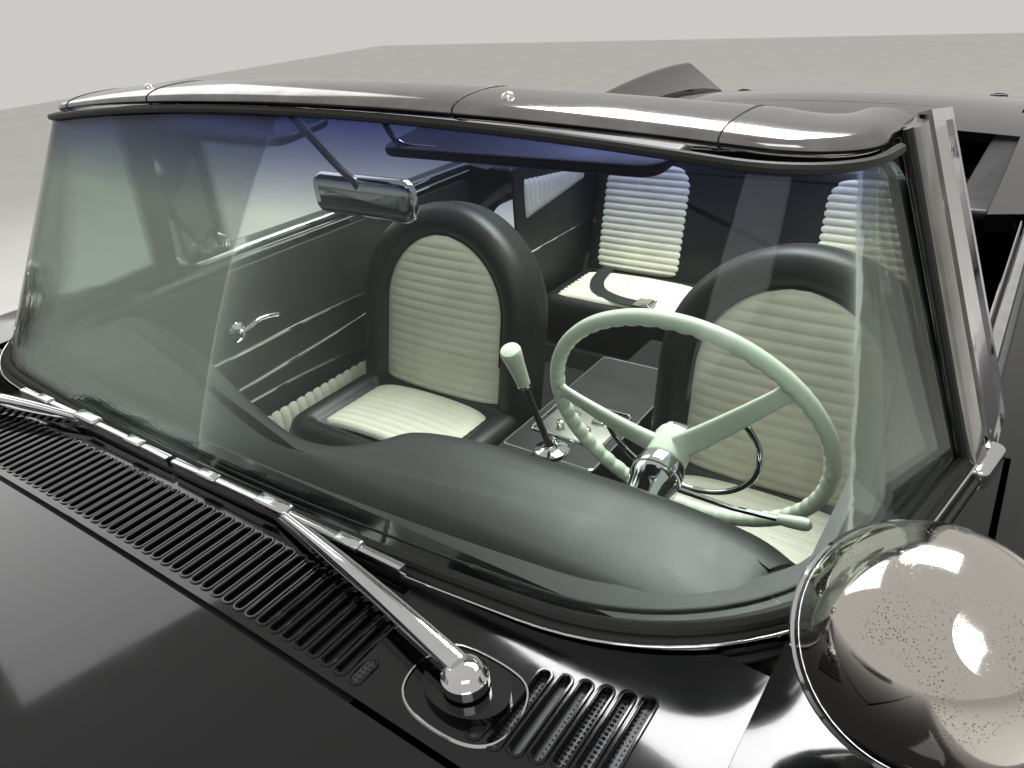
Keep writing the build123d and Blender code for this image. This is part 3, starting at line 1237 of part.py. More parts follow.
with BuildPart() as spots:
    add(spot_bodies)
    for body in fenders:
        add(body, mode=Mode.SUBTRACT)
save(spots.part, "spotlamps")

# Mirror and folded sun visors under the header
VISOR_X = 272.0
VISOR_SIZE = (370.0, 105.0, 14.0)
VISOR_Z = 1268.0
mirror_stem = rod((-58.0, -695.0, 1335.0), (-80.0, -556.0, 1180.0), 6.0)
visor_rods = [rod((side * 110, -668, VISOR_Z), (side * 110, -690, 1335), 5.0) for side in (LEFT, RIGHT)]
with BuildPart() as mirror:
    with Locations((-80, -550, 1160)):
        Box(205, 22, 64)
    fillet(mirror.edges().filter_by(Axis.Y), 24.0)
    for side in (LEFT, RIGHT):
        with Locations((side * VISOR_X, -622, VISOR_Z)):
            Box(*VISOR_SIZE)
    add(mirror_stem)
    add(visor_rods)
    add(frame_shape, mode=Mode.SUBTRACT)
    add(glass_shape, mode=Mode.SUBTRACT)
save(mirror.part, "mirror_and_visors")

# Vent windows that stand in the doors behind the pillars. Columns: y, height up the slope
VENT_CORNERS = (
    (-470.0, -22.0),
    (-350.0, -22.0),
    (-425.0, 372.0),
    (-532.0, 388.0),
    (-488.0, 10.0),
    (-470.0, 10.0),
)
VENT_BAR = 12.0
lean = math.atan2(GLASS_BASE[4] - GLASS_TOP[4], GLASS_TOP[0] - GLASS_BASE[0])
vent_plane = Plane(origin=(GLASS_BASE[4], 0, GLASS_BASE[0]), x_dir=(0, 1, 0),
                   z_dir=(math.cos(lean), 0, math.sin(lean)))
with BuildPart() as vent:
    with BuildSketch(vent_plane):
        Polygon(*VENT_CORNERS, align=None)
        offset(amount=-VENT_BAR, mode=Mode.SUBTRACT)
    extrude(amount=VENT_BAR)
    with BuildSketch(vent_plane.offset(4)):
        Polygon(*VENT_CORNERS, align=None)
    extrude(amount=5)
    add(doors[0], mode=Mode.SUBTRACT)
save(vent.part, "vent_window_left")
save(vent.part.mirror(Plane.YZ), "vent_window_right")
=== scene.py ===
"""Looks of a low four-seat convertible of about 1959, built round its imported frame.

The frame's own frame is kept: the nose points to -Y, +X is the car's left, +Z is up.
Shapes are drawn in millimetres, as the CAD is, and become metres when a piece is made.
"""
from __future__ import annotations

import json
import logging
import math
from dataclasses import dataclass, field
from enum import Enum
from typing import Any, Callable, Iterable, Sequence

import bmesh
import bpy
import numpy as np
from mathutils import Matrix, Vector

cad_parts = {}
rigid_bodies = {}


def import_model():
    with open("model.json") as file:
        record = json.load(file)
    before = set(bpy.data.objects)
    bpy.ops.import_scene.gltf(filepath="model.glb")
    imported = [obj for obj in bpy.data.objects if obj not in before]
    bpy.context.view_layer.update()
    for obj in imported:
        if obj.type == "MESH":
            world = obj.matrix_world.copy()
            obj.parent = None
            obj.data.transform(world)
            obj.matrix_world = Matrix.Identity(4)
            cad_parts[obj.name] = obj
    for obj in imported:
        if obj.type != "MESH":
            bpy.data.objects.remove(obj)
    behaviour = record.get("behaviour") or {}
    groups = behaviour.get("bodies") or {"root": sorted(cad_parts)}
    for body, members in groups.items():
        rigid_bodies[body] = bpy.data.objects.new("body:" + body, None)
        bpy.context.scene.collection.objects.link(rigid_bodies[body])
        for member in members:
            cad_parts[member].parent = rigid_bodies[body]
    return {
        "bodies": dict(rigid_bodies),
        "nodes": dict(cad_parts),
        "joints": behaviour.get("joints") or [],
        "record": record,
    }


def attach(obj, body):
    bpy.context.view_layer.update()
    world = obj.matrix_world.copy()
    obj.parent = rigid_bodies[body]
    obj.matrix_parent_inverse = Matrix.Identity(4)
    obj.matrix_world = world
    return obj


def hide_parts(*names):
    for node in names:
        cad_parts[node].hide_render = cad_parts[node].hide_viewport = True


log = logging.getLogger("car")

Array = np.ndarray
Point = tuple[float, float, float]
Profile = tuple[tuple[float, float], ...]

MM = 0.001
FRAME_WIDTH_PX = 1024
SIDES = (("left", 1), ("right", -1))
TAU = 2 * math.pi
ACROSS: Point = (1, 0, 0)
INBOARD: Point = (-1, 0, 0)
BACK: Point = (0, 1, 0)
AHEAD: Point = (0, -1, 0)
UP: Point = (0, 0, 1)
PAD_EDGE = 60.0
QUILT_EDGE = 80.0


def linear(hex_colour: str, alpha: float = 1.0) -> tuple[float, float, float, float]:
    """Turn an sRGB hex colour into the linear RGBA that shaders take.

    Args:
        hex_colour: Six hex digits with a leading hash.
        alpha: The fourth channel.

    Returns:
        Linear red, green, blue and alpha.
    """
    channels = [int(hex_colour[i:i + 2], 16) / 255 for i in (1, 3, 5)]
    turned = [c / 12.92 if c <= 0.04045 else ((c + 0.055) / 1.055) ** 2.4 for c in channels]
    return (turned[0], turned[1], turned[2], alpha)


class Recipe:
    """One node-based material while it is being put together."""

    def __init__(self, name: str) -> None:
        """Start an empty material with a principled shader joined to its output.

        Args:
            name: The material's name.
        """
        self.material = bpy.data.materials.new(name)
        self.material.use_nodes = True
        self.tree = self.material.node_tree
        self.tree.nodes.clear()
        self.output = self.add("ShaderNodeOutputMaterial")
        self.shader = self.add("ShaderNodeBsdfPrincipled")
        self.tree.links.new(self.shader.outputs["BSDF"], self.output.inputs["Surface"])

    def add(self, kind: str, settings: dict[Any, Any] | None = None,
            links: dict[Any, Any] | None = None) -> bpy.types.Node:
        """Add one node with its settings and links.

        Args:
            kind: The node's type name.
            settings: Attribute names, or input names or numbers, with their values.
            links: Input names or numbers with the output sockets that feed them.

        Returns:
            The new node.
        """
        node = self.tree.nodes.new(kind)
        for key, value in (settings or {}).items():
            if isinstance(key, int) or key in node.inputs:
                node.inputs[key].default_value = value
            else:
                setattr(node, key, value)
        for key, socket in (links or {}).items():
            self.tree.links.new(socket, node.inputs[key])
        return node

    def set(self, **values: Any) -> None:
        """Set the shader's sockets; an underscore in a name stands for a space."""
        for key, value in values.items():
            self.shader.inputs[key.replace("_", " ")].default_value = value

    def feed(self, name: str, socket: bpy.types.NodeSocket) -> None:
        """Feed one of the shader's sockets."""
        self.tree.links.new(socket, self.shader.inputs[name])

    def place(self) -> bpy.types.NodeSocket:
        """Position on the piece, in metres, for patterns of real size."""
        return self.add("ShaderNodeTexCoord").outputs["Object"]

    def noise(self, size_mm: float, detail: float = 2.0, rough: float = 0.5) -> bpy.types.NodeSocket:
        """Fractal noise whose main feature has a real size.

        Args:
            size_mm: Width of one feature in millimetres.
            detail: Octaves of finer noise.
            rough: Strength of the finer octaves.

        Returns:
            The factor socket, from 0 to 1.
        """
        node = self.add("ShaderNodeTexNoise",
                        {"Scale": 1000.0 / size_mm, "Detail": detail, "Roughness": rough},
                        {"Vector": self.place()})
        return node.outputs["Fac"]

    def cells(self, size_mm: float, loose: float = 1.0) -> bpy.types.NodeSocket:
        """Voronoi cells of a real size.

        Args:
            size_mm: Width of one cell in millimetres.
            loose: How far the cells leave an even grid, from 0 to 1.

        Returns:
            The socket of the distance to the nearest cell's middle.
        """
        node = self.add("ShaderNodeTexVoronoi", {"Scale": 1000.0 / size_mm, "Randomness": loose},
                        {"Vector": self.place()})
        return node.outputs["Distance"]

    def ramp(self, socket: bpy.types.NodeSocket, low: float, high: float,
             at_low: Any, at_high: Any) -> bpy.types.NodeSocket:
        """Map a factor between two stops to two colours or two values.

        Args:
            socket: The factor.
            low: Stop of the first value.
            high: Stop of the second value.
            at_low: First value, a number or a linear colour.
            at_high: Second value.

        Returns:
            A colour socket for colours, otherwise a number socket.
        """
        if isinstance(at_low, (tuple, list)):
            node = self.add("ShaderNodeValToRGB", None, {"Fac": socket})
            stops = node.color_ramp.elements
            stops[0].position, stops[1].position = low, high
            stops[0].color, stops[1].color = at_low, at_high
            return node.outputs["Color"]
        node = self.add("ShaderNodeMapRange", {1: low, 2: high, 3: at_low, 4: at_high}, {0: socket})
        return node.outputs[0]

    def sum(self, one: bpy.types.NodeSocket, other: bpy.types.NodeSocket) -> bpy.types.NodeSocket:
        """Add two numbers."""
        return self.add("ShaderNodeMath", {"operation": "ADD"}, {0: one, 1: other}).outputs[0]

    def bump(self, socket: bpy.types.NodeSocket, depth_mm: float,
             strength: float = 1.0) -> bpy.types.NodeSocket:
        """A bump of real depth, as a normal socket."""
        node = self.add("ShaderNodeBump", {"Strength": strength, "Distance": depth_mm / 1000.0},
                        {"Height": socket})
        return node.outputs["Normal"]


@dataclass(frozen=True)
class Lacquer:
    """Black nitrocellulose lacquer over steel, sprayed, sanded and polished to a deep mirror."""

    name: str = "black_lacquer_polished"
    colour: str = "#050607"
    haze: str = "#08090B"
    haze_mm: float = 260.0
    peel_mm: float = 5.0

    def make(self) -> bpy.types.Material:
        """Build the material: the eye gets a black depth under a clear, faintly rippled mirror.

        Returns:
            The material.
        """
        r = Recipe(self.name)
        r.set(IOR=1.45, Coat_Weight=0.2, Coat_Roughness=0.02)
        r.feed("Base Color", r.ramp(r.noise(self.haze_mm), 0.35, 0.7, linear(self.colour), linear(self.haze)))
        r.feed("Roughness", r.ramp(r.noise(70.0, 3.0), 0.3, 0.7, 0.04, 0.1))
        r.feed("Normal", r.bump(r.noise(self.peel_mm, 1.0), 0.004))
        return r.material


@dataclass(frozen=True)
class Plated:
    """Bright metal: chromium over nickel on a casting, or buffed stainless strip."""

    name: str
    colour: str
    worn: str
    roughness: float
    speck: float = 0.0

    def make(self) -> bpy.types.Material:
        """Build the material: the eye gets a mirror broken by faint haze and, where worn, by pinholes.

        Returns:
            The material.
        """
        r = Recipe(self.name)
        r.set(Metallic=1.0)
        dull = r.noise(40.0, 4.0)
        r.feed("Base Color", r.ramp(dull, 0.3, 0.8, linear(self.colour), linear(self.worn)))
        base = r.ramp(dull, 0.35, 0.75, self.roughness, self.roughness + 0.06)
        if self.speck:
            patch = r.ramp(r.noise(55.0, 3.0), 0.48, 0.62, 0.0, self.speck)
            pits = r.ramp(r.cells(1.9), 0.05, 0.34, 1.0, 0.0)
            both = r.add("ShaderNodeMath", {"operation": "MULTIPLY"}, {0: patch, 1: pits}).outputs[0]
            base = r.sum(base, both)
            r.feed("Base Color", r.ramp(both, 0.0, 0.5, linear(self.colour), linear("#6E5F50")))
        r.feed("Roughness", base)
        return r.material


@dataclass(frozen=True)
class Grained:
    """Coated fabric, padded skin, moulded plastic, rubber or rough paint, with a grain of real size."""

    name: str
    colour: str
    worn: str
    grain_mm: float
    roughness: float
    depth_mm: float = 0.12

    def make(self) -> bpy.types.Material:
        """Build the material: the eye gets a soft sheen broken by the grain and paler where it is worn.

        Returns:
            The material.
        """
        r = Recipe(self.name)
        r.set(IOR=1.5)
        patch = r.noise(90.0, 4.0)
        r.feed("Base Color", r.ramp(patch, 0.35, 0.75, linear(self.colour), linear(self.worn)))
        r.feed("Roughness", r.ramp(patch, 0.3, 0.7, self.roughness, self.roughness + 0.1))
        grain = r.ramp(r.cells(self.grain_mm), 0.0, 0.6, 0.0, 1.0)
        r.feed("Normal", r.bump(grain, self.depth_mm, 0.6))
        return r.material


@dataclass(frozen=True)
class Perforated:
    """Steel sheet punched with round holes in even rows, painted black."""

    name: str = "punched_steel_black"
    pitch_mm: float = 4.4
    hole: float = 0.3

    def make(self) -> bpy.types.Material:
        """Build the material: the eye gets rows of round holes, coloured near black as painted shade, in a
        faintly shining sheet.

        Returns:
            The material.
        """
        r = Recipe(self.name)
        spot = r.cells(self.pitch_mm, 0.0)
        # painted shade: the holes are coloured near black, matt and not metallic, for the shade inside them
        painted_hole_shade, bright = linear("#020202"), linear("#3A3B3D")
        r.feed("Base Color", r.ramp(spot, self.hole - 0.02, self.hole + 0.06, painted_hole_shade, bright))
        r.feed("Roughness", r.ramp(spot, self.hole, self.hole + 0.1, 0.9, 0.28))
        r.feed("Metallic", r.ramp(spot, self.hole, self.hole + 0.05, 0.0, 0.7))
        r.feed("Normal", r.bump(r.ramp(spot, self.hole, self.hole + 0.1, 0.0, 1.0), 0.6))
        return r.material


@dataclass(frozen=True)
class Tinted:
    """Laminated glass, palest green in the body, with a blue-violet shade band at its top."""

    name: str
    tint: str = "#F3F9F5"
    band: str = "#8791C4"
    band_low: float = 1.215
    band_high: float = 1.315

    def make(self) -> bpy.types.Material:
        """Build the material: the eye gets the cabin through a faint tint, and a mirror at a slant.

        Returns:
            The material.
        """
        r = Recipe(self.name)
        clear = r.add("ShaderNodeBsdfTransparent")
        gloss = r.add("ShaderNodeBsdfGlossy", {"Roughness": 0.01, "Color": (0.95, 0.98, 0.96, 1)})
        height = r.add("ShaderNodeSeparateXYZ", None, {0: r.place()}).outputs["Z"]
        share = r.ramp(height, self.band_low, self.band_high, 0.0, 1.0)
        r.tree.links.new(r.ramp(share, 0.0, 1.0, linear(self.tint), linear(self.band)), clear.inputs["Color"])
        edge = r.add("ShaderNodeFresnel", {"IOR": 1.24})
        lift = r.ramp(edge.outputs[0], 0.0, 1.0, 0.0, 0.85)
        mix = r.add("ShaderNodeMixShader", None, {0: lift, 1: clear.outputs[0], 2: gloss.outputs[0]})
        r.tree.links.new(mix.outputs[0], r.output.inputs["Surface"])
        return r.material


class Finish(Enum):
    """The finishes that pieces take, each with the record's slot it belongs to."""

    LACQUER = ("body_paint", Lacquer())
    CHROME = ("chrome", Plated("chromium_plate_polished", "#DCDDDF", "#C4C5C7", 0.04))
    PITTED = ("chrome", Plated("chromium_plate_pitted", "#D2CDC6", "#B0A79C", 0.05, 0.7))
    STAINLESS = ("stainless", Plated("stainless_strip_buffed", "#9A9897", "#7C7978", 0.09))
    BRUSHED = ("stainless", Plated("aluminium_panel_brushed", "#C9C9C2", "#B7B6AC", 0.3))
    GLASS = ("glass", Tinted("laminated_glass_tinted"))
    CLEAR = ("lamp_glass", Tinted("lens_glass_clear", "#F4F6F5", "#F4F6F5", 4.0, 5.0))
    RED = ("red_lens", Grained("red_acrylic_moulded", "#8E0B0B", "#A01212", 4.0, 0.08, 0.4))
    BLACK_VINYL = ("black_vinyl", Grained("black_vinyl_calendered", "#0F0F11", "#18181A", 2.4, 0.4))
    IVORY_VINYL = ("ivory_vinyl", Grained("ivory_vinyl_calendered", "#DEDACB", "#CFCAB8", 2.2, 0.4, 0.08))
    IVORY_PLASTIC = ("ivory_plastic", Grained("ivory_plastic_moulded", "#E2E9DA", "#D6DECB", 3.0, 0.22, 0.01))
    UNDERSEAL = ("underseal", Grained("underseal_brushed", "#161616", "#1E1D1C", 6.0, 0.8, 0.6))
    CARPET = ("underseal", Grained("loop_carpet_black", "#101011", "#1B1B1C", 3.2, 0.95, 1.2))
    CAST = ("cast_metal", Grained("cast_iron_painted", "#2A2A2B", "#37332F", 4.0, 0.6, 0.2))
    RUBBER = ("tyre_rubber", Grained("black_rubber_moulded", "#141414", "#1B1B1B", 3.0, 0.6, 0.1))
    WHITEWALL = ("tyre_rubber", Grained("white_rubber_moulded", "#E4E1D8", "#D8D4C9", 3.0, 0.55, 0.05))
    STEEL = ("exhaust_steel", Plated("aluminised_steel_dull", "#8B857C", "#6E675E", 0.45))
    SCREEN = ("underseal", Perforated())


def unit(vector: Sequence[float] | Array) -> Array:
    """Scale a vector, or each row of vectors, to length one."""
    a = np.asarray(vector, float)
    return a / np.linalg.norm(a, axis=-1, keepdims=True)


def smooth_line(points: Sequence[Sequence[float]], steps: int, closed: bool = False) -> Array:
    """Draw a Catmull-Rom curve through points.

    Args:
        points: The points it passes, in two or three dimensions.
        steps: Points for each span.
        closed: Whether it returns to its start.

    Returns:
        The curve's points.
    """
    p = np.asarray(points, float)
    ends = (p[-1:], p[:2]) if closed else (2 * p[:1] - p[1:2], 2 * p[-1:] - p[-2:-1])
    q = np.vstack((ends[0], p, ends[1]))
    t = np.linspace(0, 1, steps, endpoint=False)[:, None]
    spans = [0.5 * (2 * b + (c - a) * t + (2 * a - 5 * b + 4 * c - d) * t ** 2
                    + (3 * b - a - 3 * c + d) * t ** 3) for a, b, c, d in zip(q, q[1:], q[2:], q[3:])]
    return np.vstack(spans if closed else spans + [p[-1:]])


def round_outline(width: float, height: float, radius: float, steps: int = 6) -> Array:
    """Draw a rounded rectangle about the origin, anticlockwise.

    Args:
        width: Its width.
        height: Its height.
        radius: Its corners' radius.
        steps: Spans on each corner.

    Returns:
        Flat points.
    """
    corners = ((1, 1, 0), (-1, 1, 90), (-1, -1, 180), (1, -1, 270))
    points = []
    for sx, sy, start in corners:
        for a in np.radians(start + np.linspace(0, 90, steps + 1)):
            points.append((sx * (width / 2 - radius) + radius * math.cos(a),
                           sy * (height / 2 - radius) + radius * math.sin(a)))
    return np.array(points)


def circle(radius: float, sides: int) -> Array:
    """A circle about the origin, as flat points."""
    a = np.linspace(0, TAU, sides, endpoint=False)
    return np.stack((radius * np.cos(a), radius * np.sin(a)), 1)


def level(outline: Array, height: float | Array) -> Array:
    """Flat points in x and y laid level at a height, or at a height for each."""
    return np.column_stack((outline, np.broadcast_to(height, len(outline))))


@dataclass(frozen=True)
class Flat:
    """A flat place to draw on: an origin, the way across it and the way up it."""

    origin: Point
    across: Point = ACROSS
    up: Point = UP

    def at(self, points: Array, out: float | Array = 0.0) -> Array:
        """Lift flat points into space.

        Args:
            points: Rows of two numbers.
            out: How far out of the plane they stand, along across x up.

        Returns:
            Rows of three numbers.
        """
        a = unit(self.across)
        n = unit(np.cross(a, self.up))
        u = np.cross(n, a)
        out = np.broadcast_to(np.asarray(out, float), points.shape[:-1])
        return np.asarray(self.origin) + points[..., :1] * a + points[..., 1:2] * u + out[..., None] * n

    def spot(self, across: float, up: float, out: float = 0.0) -> Array:
        """One point of the place, lifted out of it."""
        return self.at(np.array([[across, up]]), out)[0]


def plan_at(x: float, y: float, z: float = 0.0) -> Flat:
    """A level place to draw on, with x across and y up the drawing."""
    return Flat((x, y, z), ACROSS, BACK)


def inner_wall(x: float) -> Flat:
    """An upright place on the car's left that faces the cabin, with -y across and z up the drawing."""
    return Flat((x, 0.0, 0.0), AHEAD, UP)


def inset(outline: Array, by: float) -> Array:
    """Move a closed outline inwards along its corner normals.

    Args:
        outline: Flat points, anticlockwise.
        by: How far its sides move.

    Returns:
        As many points.
    """
    ahead = unit(np.roll(outline, -1, 0) - outline)
    behind = np.roll(ahead, 1, 0)
    mean = unit(ahead + behind)
    normal = np.stack((-mean[:, 1], mean[:, 0]), 1)
    spread = np.clip(np.sum(mean * ahead, 1), 0.5, 1.0)[:, None]
    return outline + normal * by / spread


class Shape:
    """Points, in millimetres, and faces of one piece while it is being put together."""

    def __init__(self) -> None:
        """Start with nothing."""
        self.rows: list[Array] = []
        self.faces: list[tuple[int, ...]] = []
        self.count = 0

    def skin(self, rows: Array, around: bool = False, along: bool = False, caps: bool = False) -> Shape:
        """Join rows of points by faces.

        Args:
            rows: Points as rows x columns x 3.
            around: Join the last column to the first.
            along: Join the last row to the first.
            caps: Close the first and the last row.

        Returns:
            The shape itself.
        """
        n, m = rows.shape[:2]
        base = self.count
        self.rows.append(rows.reshape(-1, 3))
        self.count += n * m
        for i in range(n if along else n - 1):
            for j in range(m if around else m - 1):
                k = (i + 1) % n
                self.faces.append((base + i * m + j, base + i * m + (j + 1) % m,
                                   base + k * m + (j + 1) % m, base + k * m + j))
        if caps:
            self.faces.append(tuple(base + j for j in reversed(range(m))))
            self.faces.append(tuple(base + (n - 1) * m + j for j in range(m)))
        return self

    def sweep(self, path: Array, section: Array, up: Sequence[float] | Array = UP,
              closed: bool = False, scale: Array | None = None) -> Shape:
        """Carry a closed flat section along a path.

        Args:
            path: The path's points.
            section: Flat points; their second number stands towards up.
            up: One direction, or one for each point of the path.
            closed: Whether the path returns to its start.
            scale: A factor on the section for each point.

        Returns:
            The shape itself.
        """
        p = np.asarray(path, float)
        if closed:
            tangent = unit(np.roll(p, -1, 0) - np.roll(p, 1, 0))
        else:
            tangent = unit(np.gradient(p, axis=0))
        side = unit(np.cross(tangent, np.broadcast_to(np.asarray(up, float), p.shape)))
        lift = np.cross(side, tangent)
        size = np.ones(len(p)) if scale is None else scale
        flat = section[None] * size[:, None, None]
        rows = p[:, None] + flat[..., :1] * side[:, None] + flat[..., 1:2] * lift[:, None]
        return self.skin(rows, around=True, along=closed, caps=not closed)

    def tube(self, path: Sequence[Sequence[float]] | Array, radius: float | Array, sides: int = 10,
             closed: bool = False, up: Sequence[float] = (0.13, 0.21, 0.97)) -> Shape:
        """Carry a circle along a path.

        Args:
            path: The path's points.
            radius: The circle's radius, or one for each point.
            sides: Faces round the path.
            closed: Whether the path returns to its start.
            up: A direction that the path doesn't take.

        Returns:
            The shape itself.
        """
        p = np.asarray(path, float)
        return self.sweep(p, circle(1.0, sides), up, closed,
                          np.broadcast_to(np.asarray(radius, float), len(p)))

    def lathe(self, profile: Sequence[Sequence[float]], place: Sequence[float], axis: Sequence[float],
              sides: int = 40, ring: bool = False) -> Shape:
        """Turn a profile of (radius, distance along the axis) about an axis.

        Args:
            profile: The profile's points.
            place: Where the axis starts.
            axis: Its direction.
            sides: Faces round the axis.
            ring: Whether the profile closes on itself, so that the middle stays open.

        Returns:
            The shape itself.
        """
        n = unit(axis)
        a = unit(np.cross(n, (0.31, 0.2, 0.93)))
        b = np.cross(n, a)
        turn = np.linspace(0, TAU, sides, endpoint=False)
        spokes = np.cos(turn)[:, None] * a + np.sin(turn)[:, None] * b
        rows = np.array([np.asarray(place) + r * spokes + h * n for r, h in profile])
        return self.skin(rows, around=True, along=ring, caps=not ring)

    def loft(self, outline: Array, flat: Flat, profile: Sequence[Sequence[float]]) -> Shape:
        """Stack insets of one outline.

        Args:
            outline: Closed flat points, anticlockwise.
            flat: Where it is drawn.
            profile: (inset, height out of the plane), from the back to the front.

        Returns:
            The shape itself.
        """
        rows = np.array([flat.at(inset(outline, by), out) for by, out in profile])
        return self.skin(rows, around=True, caps=True)

    def slab(self, outline: Array, flat: Flat, low: float, high: float, soft: float = 1.0,
             steps: int = 3) -> Shape:
        """Give an outline some thickness, with rounded edges on both faces.

        Args:
            outline: Closed flat points, anticlockwise.
            flat: Where it is drawn.
            low: Height of its back out of the plane.
            high: Height of its front.
            soft: Radius of its edges.
            steps: Spans on each edge.

        Returns:
            The shape itself.
        """
        a = np.linspace(0, math.pi / 2, steps + 1)
        arc = [(soft * (1 - math.sin(t)), soft * (1 - math.cos(t))) for t in a]
        profile = [(by, low + lift) for by, lift in arc] + [(by, high - lift) for by, lift in reversed(arc)]
        return self.loft(outline, flat, profile)

    def block(self, low: Sequence[float], high: Sequence[float], soft: float = 2.0) -> Shape:
        """Add a box whose edges are all rounded.

        Args:
            low: Its lowest corner.
            high: Its highest corner.
            soft: Radius of its edges.

        Returns:
            The shape itself.
        """
        size = np.subtract(high, low)
        mid = (np.asarray(low, float) + high) / 2
        outline = round_outline(size[0], size[1], min(soft, min(size[:2]) / 2.01), 3)
        return self.slab(outline, plan_at(mid[0], mid[1]), low[2], high[2], min(soft, size[2] / 2.01), 3)

    def mirrored(self) -> Shape:
        """Copy the shape to the car's other side.

        Returns:
            The copy.
        """
        other = Shape()
        other.rows = [r * (-1, 1, 1) for r in self.rows]
        other.faces = [tuple(reversed(f)) for f in self.faces]
        other.count = self.count
        return other


@dataclass
class Workshop:
    """Turns shapes into pieces that ride on the frame's bodies."""

    frame: dict[str, Any]
    made: dict[Finish, bpy.types.Material] = field(default_factory=dict)

    def material(self, finish: Finish) -> bpy.types.Material:
        """Find the material of a finish, made the first time it is asked for.

        Args:
            finish: The finish.

        Returns:
            Its material.
        """
        if finish not in self.made:
            self.made[finish] = finish.value[1].make()
        return self.made[finish]

    def piece(self, name: str, shape: Shape, finish: Finish, body: str = "root", edge: float = 40.0,
              replaces: Sequence[str] = (), fill: float | None = None) -> bpy.types.Object:
        """Make one piece.

        Args:
            name: The piece's name.
            shape: Its shape, in millimetres.
            finish: What it is made of.
            body: The body it rides on.
            edge: Angle in degrees from which an edge shades sharp.
            replaces: CAD nodes it stands for.
            fill: How full it would be, where it is a padded piece; not used.

        Returns:
            The object.
        """
        mesh = bpy.data.meshes.new(name)
        mesh.from_pydata((np.vstack(shape.rows) * MM).tolist(), [], shape.faces)
        work = bmesh.new()
        work.from_mesh(mesh)
        bmesh.ops.recalc_face_normals(work, faces=work.faces)
        work.to_mesh(mesh)
        work.free()
        mesh.shade_smooth()
        mesh.set_sharp_from_angle(angle=math.radians(edge))
        mesh.materials.append(self.material(finish))
        made = bpy.data.objects.new(name, mesh)
        bpy.context.scene.collection.objects.link(made)
        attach(made, body)
        if replaces:
            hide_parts(*replaces)
        log.info("%s: %d faces on %s", name, len(shape.faces), body)
        return made

    def pad(self, name: str, shape: Shape, replaces: Sequence[str] = (), fill: float = 0.8) -> None:
        """Make one padded piece of black vinyl."""
        self.piece(name, shape, Finish.BLACK_VINYL, edge=PAD_EDGE, replaces=replaces, fill=fill)

    def quilt(self, name: str, pleats: Pleats) -> None:
        """Make one pleated seat panel of ivory vinyl."""
        self.piece(name, pleats.shape(), Finish.IVORY_VINYL, edge=QUILT_EDGE, fill=0.7)

    def pair(self, name: str, shape: Shape, finish: Finish, body: str = "root", edge: float = 40.0,
             fill: float | None = None) -> None:
        """Make a piece of the car's left side and its twin on the right.

        Args:
            name: Their name without the side.
            shape: The left one's shape.
            finish: What they are made of.
            body: The body's name; {side} in it becomes left or right.
            edge: Angle in degrees from which an edge shades sharp.
            fill: How full they are, where they are padded.
        """
        for side, sign in SIDES:
            self.piece(f"{name}_{side}", shape if sign > 0 else shape.mirrored(), finish,
                       body.format(side=side), edge, fill=fill)


@dataclass
class Assembly:
    """A sub-assembly: its sizes as data, and the workshop that makes its pieces."""

    shop: Workshop

    def build(self) -> None:
        """Make the pieces."""
        raise NotImplementedError


@dataclass(frozen=True)
class Plan:
    """One plan curve of the windshield: front arc, corner arcs and straight sides."""

    height: float
    front_y: float
    front_r: float
    corner_r: float
    end_x: float
    end_y: float
    angle: float

    def half(self, line: int, corner: int, arc: int) -> tuple[Array, Array]:
        """Points and outward normals from the side's rear end to the centre line, on +X.

        Args:
            line: Points on the straight side.
            corner: Points on the corner.
            arc: Points on the front arc.

        Returns:
            Flat points and flat normals.
        """
        lean = math.radians(self.angle)
        ahead = np.array((-math.sin(lean), -math.cos(lean)))
        out = np.array((math.cos(lean), -math.sin(lean)))
        centre = np.array((0.0, self.front_y + self.front_r))
        end = np.array((self.end_x, self.end_y))
        start = end - out * self.corner_r - centre
        along = start @ ahead
        run = -along + math.sqrt(along ** 2 - start @ start + (self.front_r - self.corner_r) ** 2)
        pivot = end - out * self.corner_r + ahead * run
        reach = unit(pivot - centre)
        t = np.linspace(0, run, line, endpoint=False)
        points = [end + ahead * s for s in t]
        normals = [out] * line
        first, last = math.atan2(out[1], out[0]), math.atan2(reach[1], reach[0])
        arcs = ((pivot, self.corner_r, np.linspace(first, last, corner, endpoint=False)),
                (centre, self.front_r, np.linspace(last, -math.pi / 2, arc)))
        for middle, radius, angles in arcs:
            for a in angles:
                normals.append(np.array((math.cos(a), math.sin(a))))
                points.append(middle + normals[-1] * radius)
        return np.array(points), np.array(normals)

    def whole(self, line: int = 12, corner: int = 18, arc: int = 26) -> tuple[Array, Array]:
        """Points and outward normals from the left side's rear end to the right one's."""
        p, n = self.half(line, corner, arc)
        return np.vstack((p, (p * (-1, 1))[-2::-1])), np.vstack((n, (n * (-1, 1))[-2::-1]))


GLASS_BASE = Plan(930.0, -984.0, 5000.0, 290.0, 765.0, -495.0, 10.2)
GLASS_TOP = Plan(1345.0, -725.0, 5000.0, 85.0, 633.0, -545.0, 4.0)
HEADER_BACK = Plan(1345.0, -645.0, 2600.0, 60.0, 596.0, -540.0, 20.0)
HEADER_FALL = 62.0
HEADER_SPAN = 830.0


def on_glass(height: float | Array, out: float = 0.0) -> Array:
    """Points round the windshield's outer face.

    Args:
        height: Their height, or a height for each.
        out: How far they are moved outwards.

    Returns:
        Rows of three numbers, from the left side's rear end to the right one's.
    """
    low, low_n = GLASS_BASE.whole()
    top, top_n = GLASS_TOP.whole()
    z = np.broadcast_to(np.asarray(height, float), len(low))
    t = ((z - GLASS_BASE.height) / (GLASS_TOP.height - GLASS_BASE.height))[:, None]
    flat = low * (1 - t) + top * t + unit(low_n * (1 - t) + top_n * t) * out
    return np.column_stack((flat, z))


def header_drop(x: Array) -> Array:
    """How far the header's arch has come down at x."""
    return HEADER_FALL * (x / HEADER_SPAN) ** 2


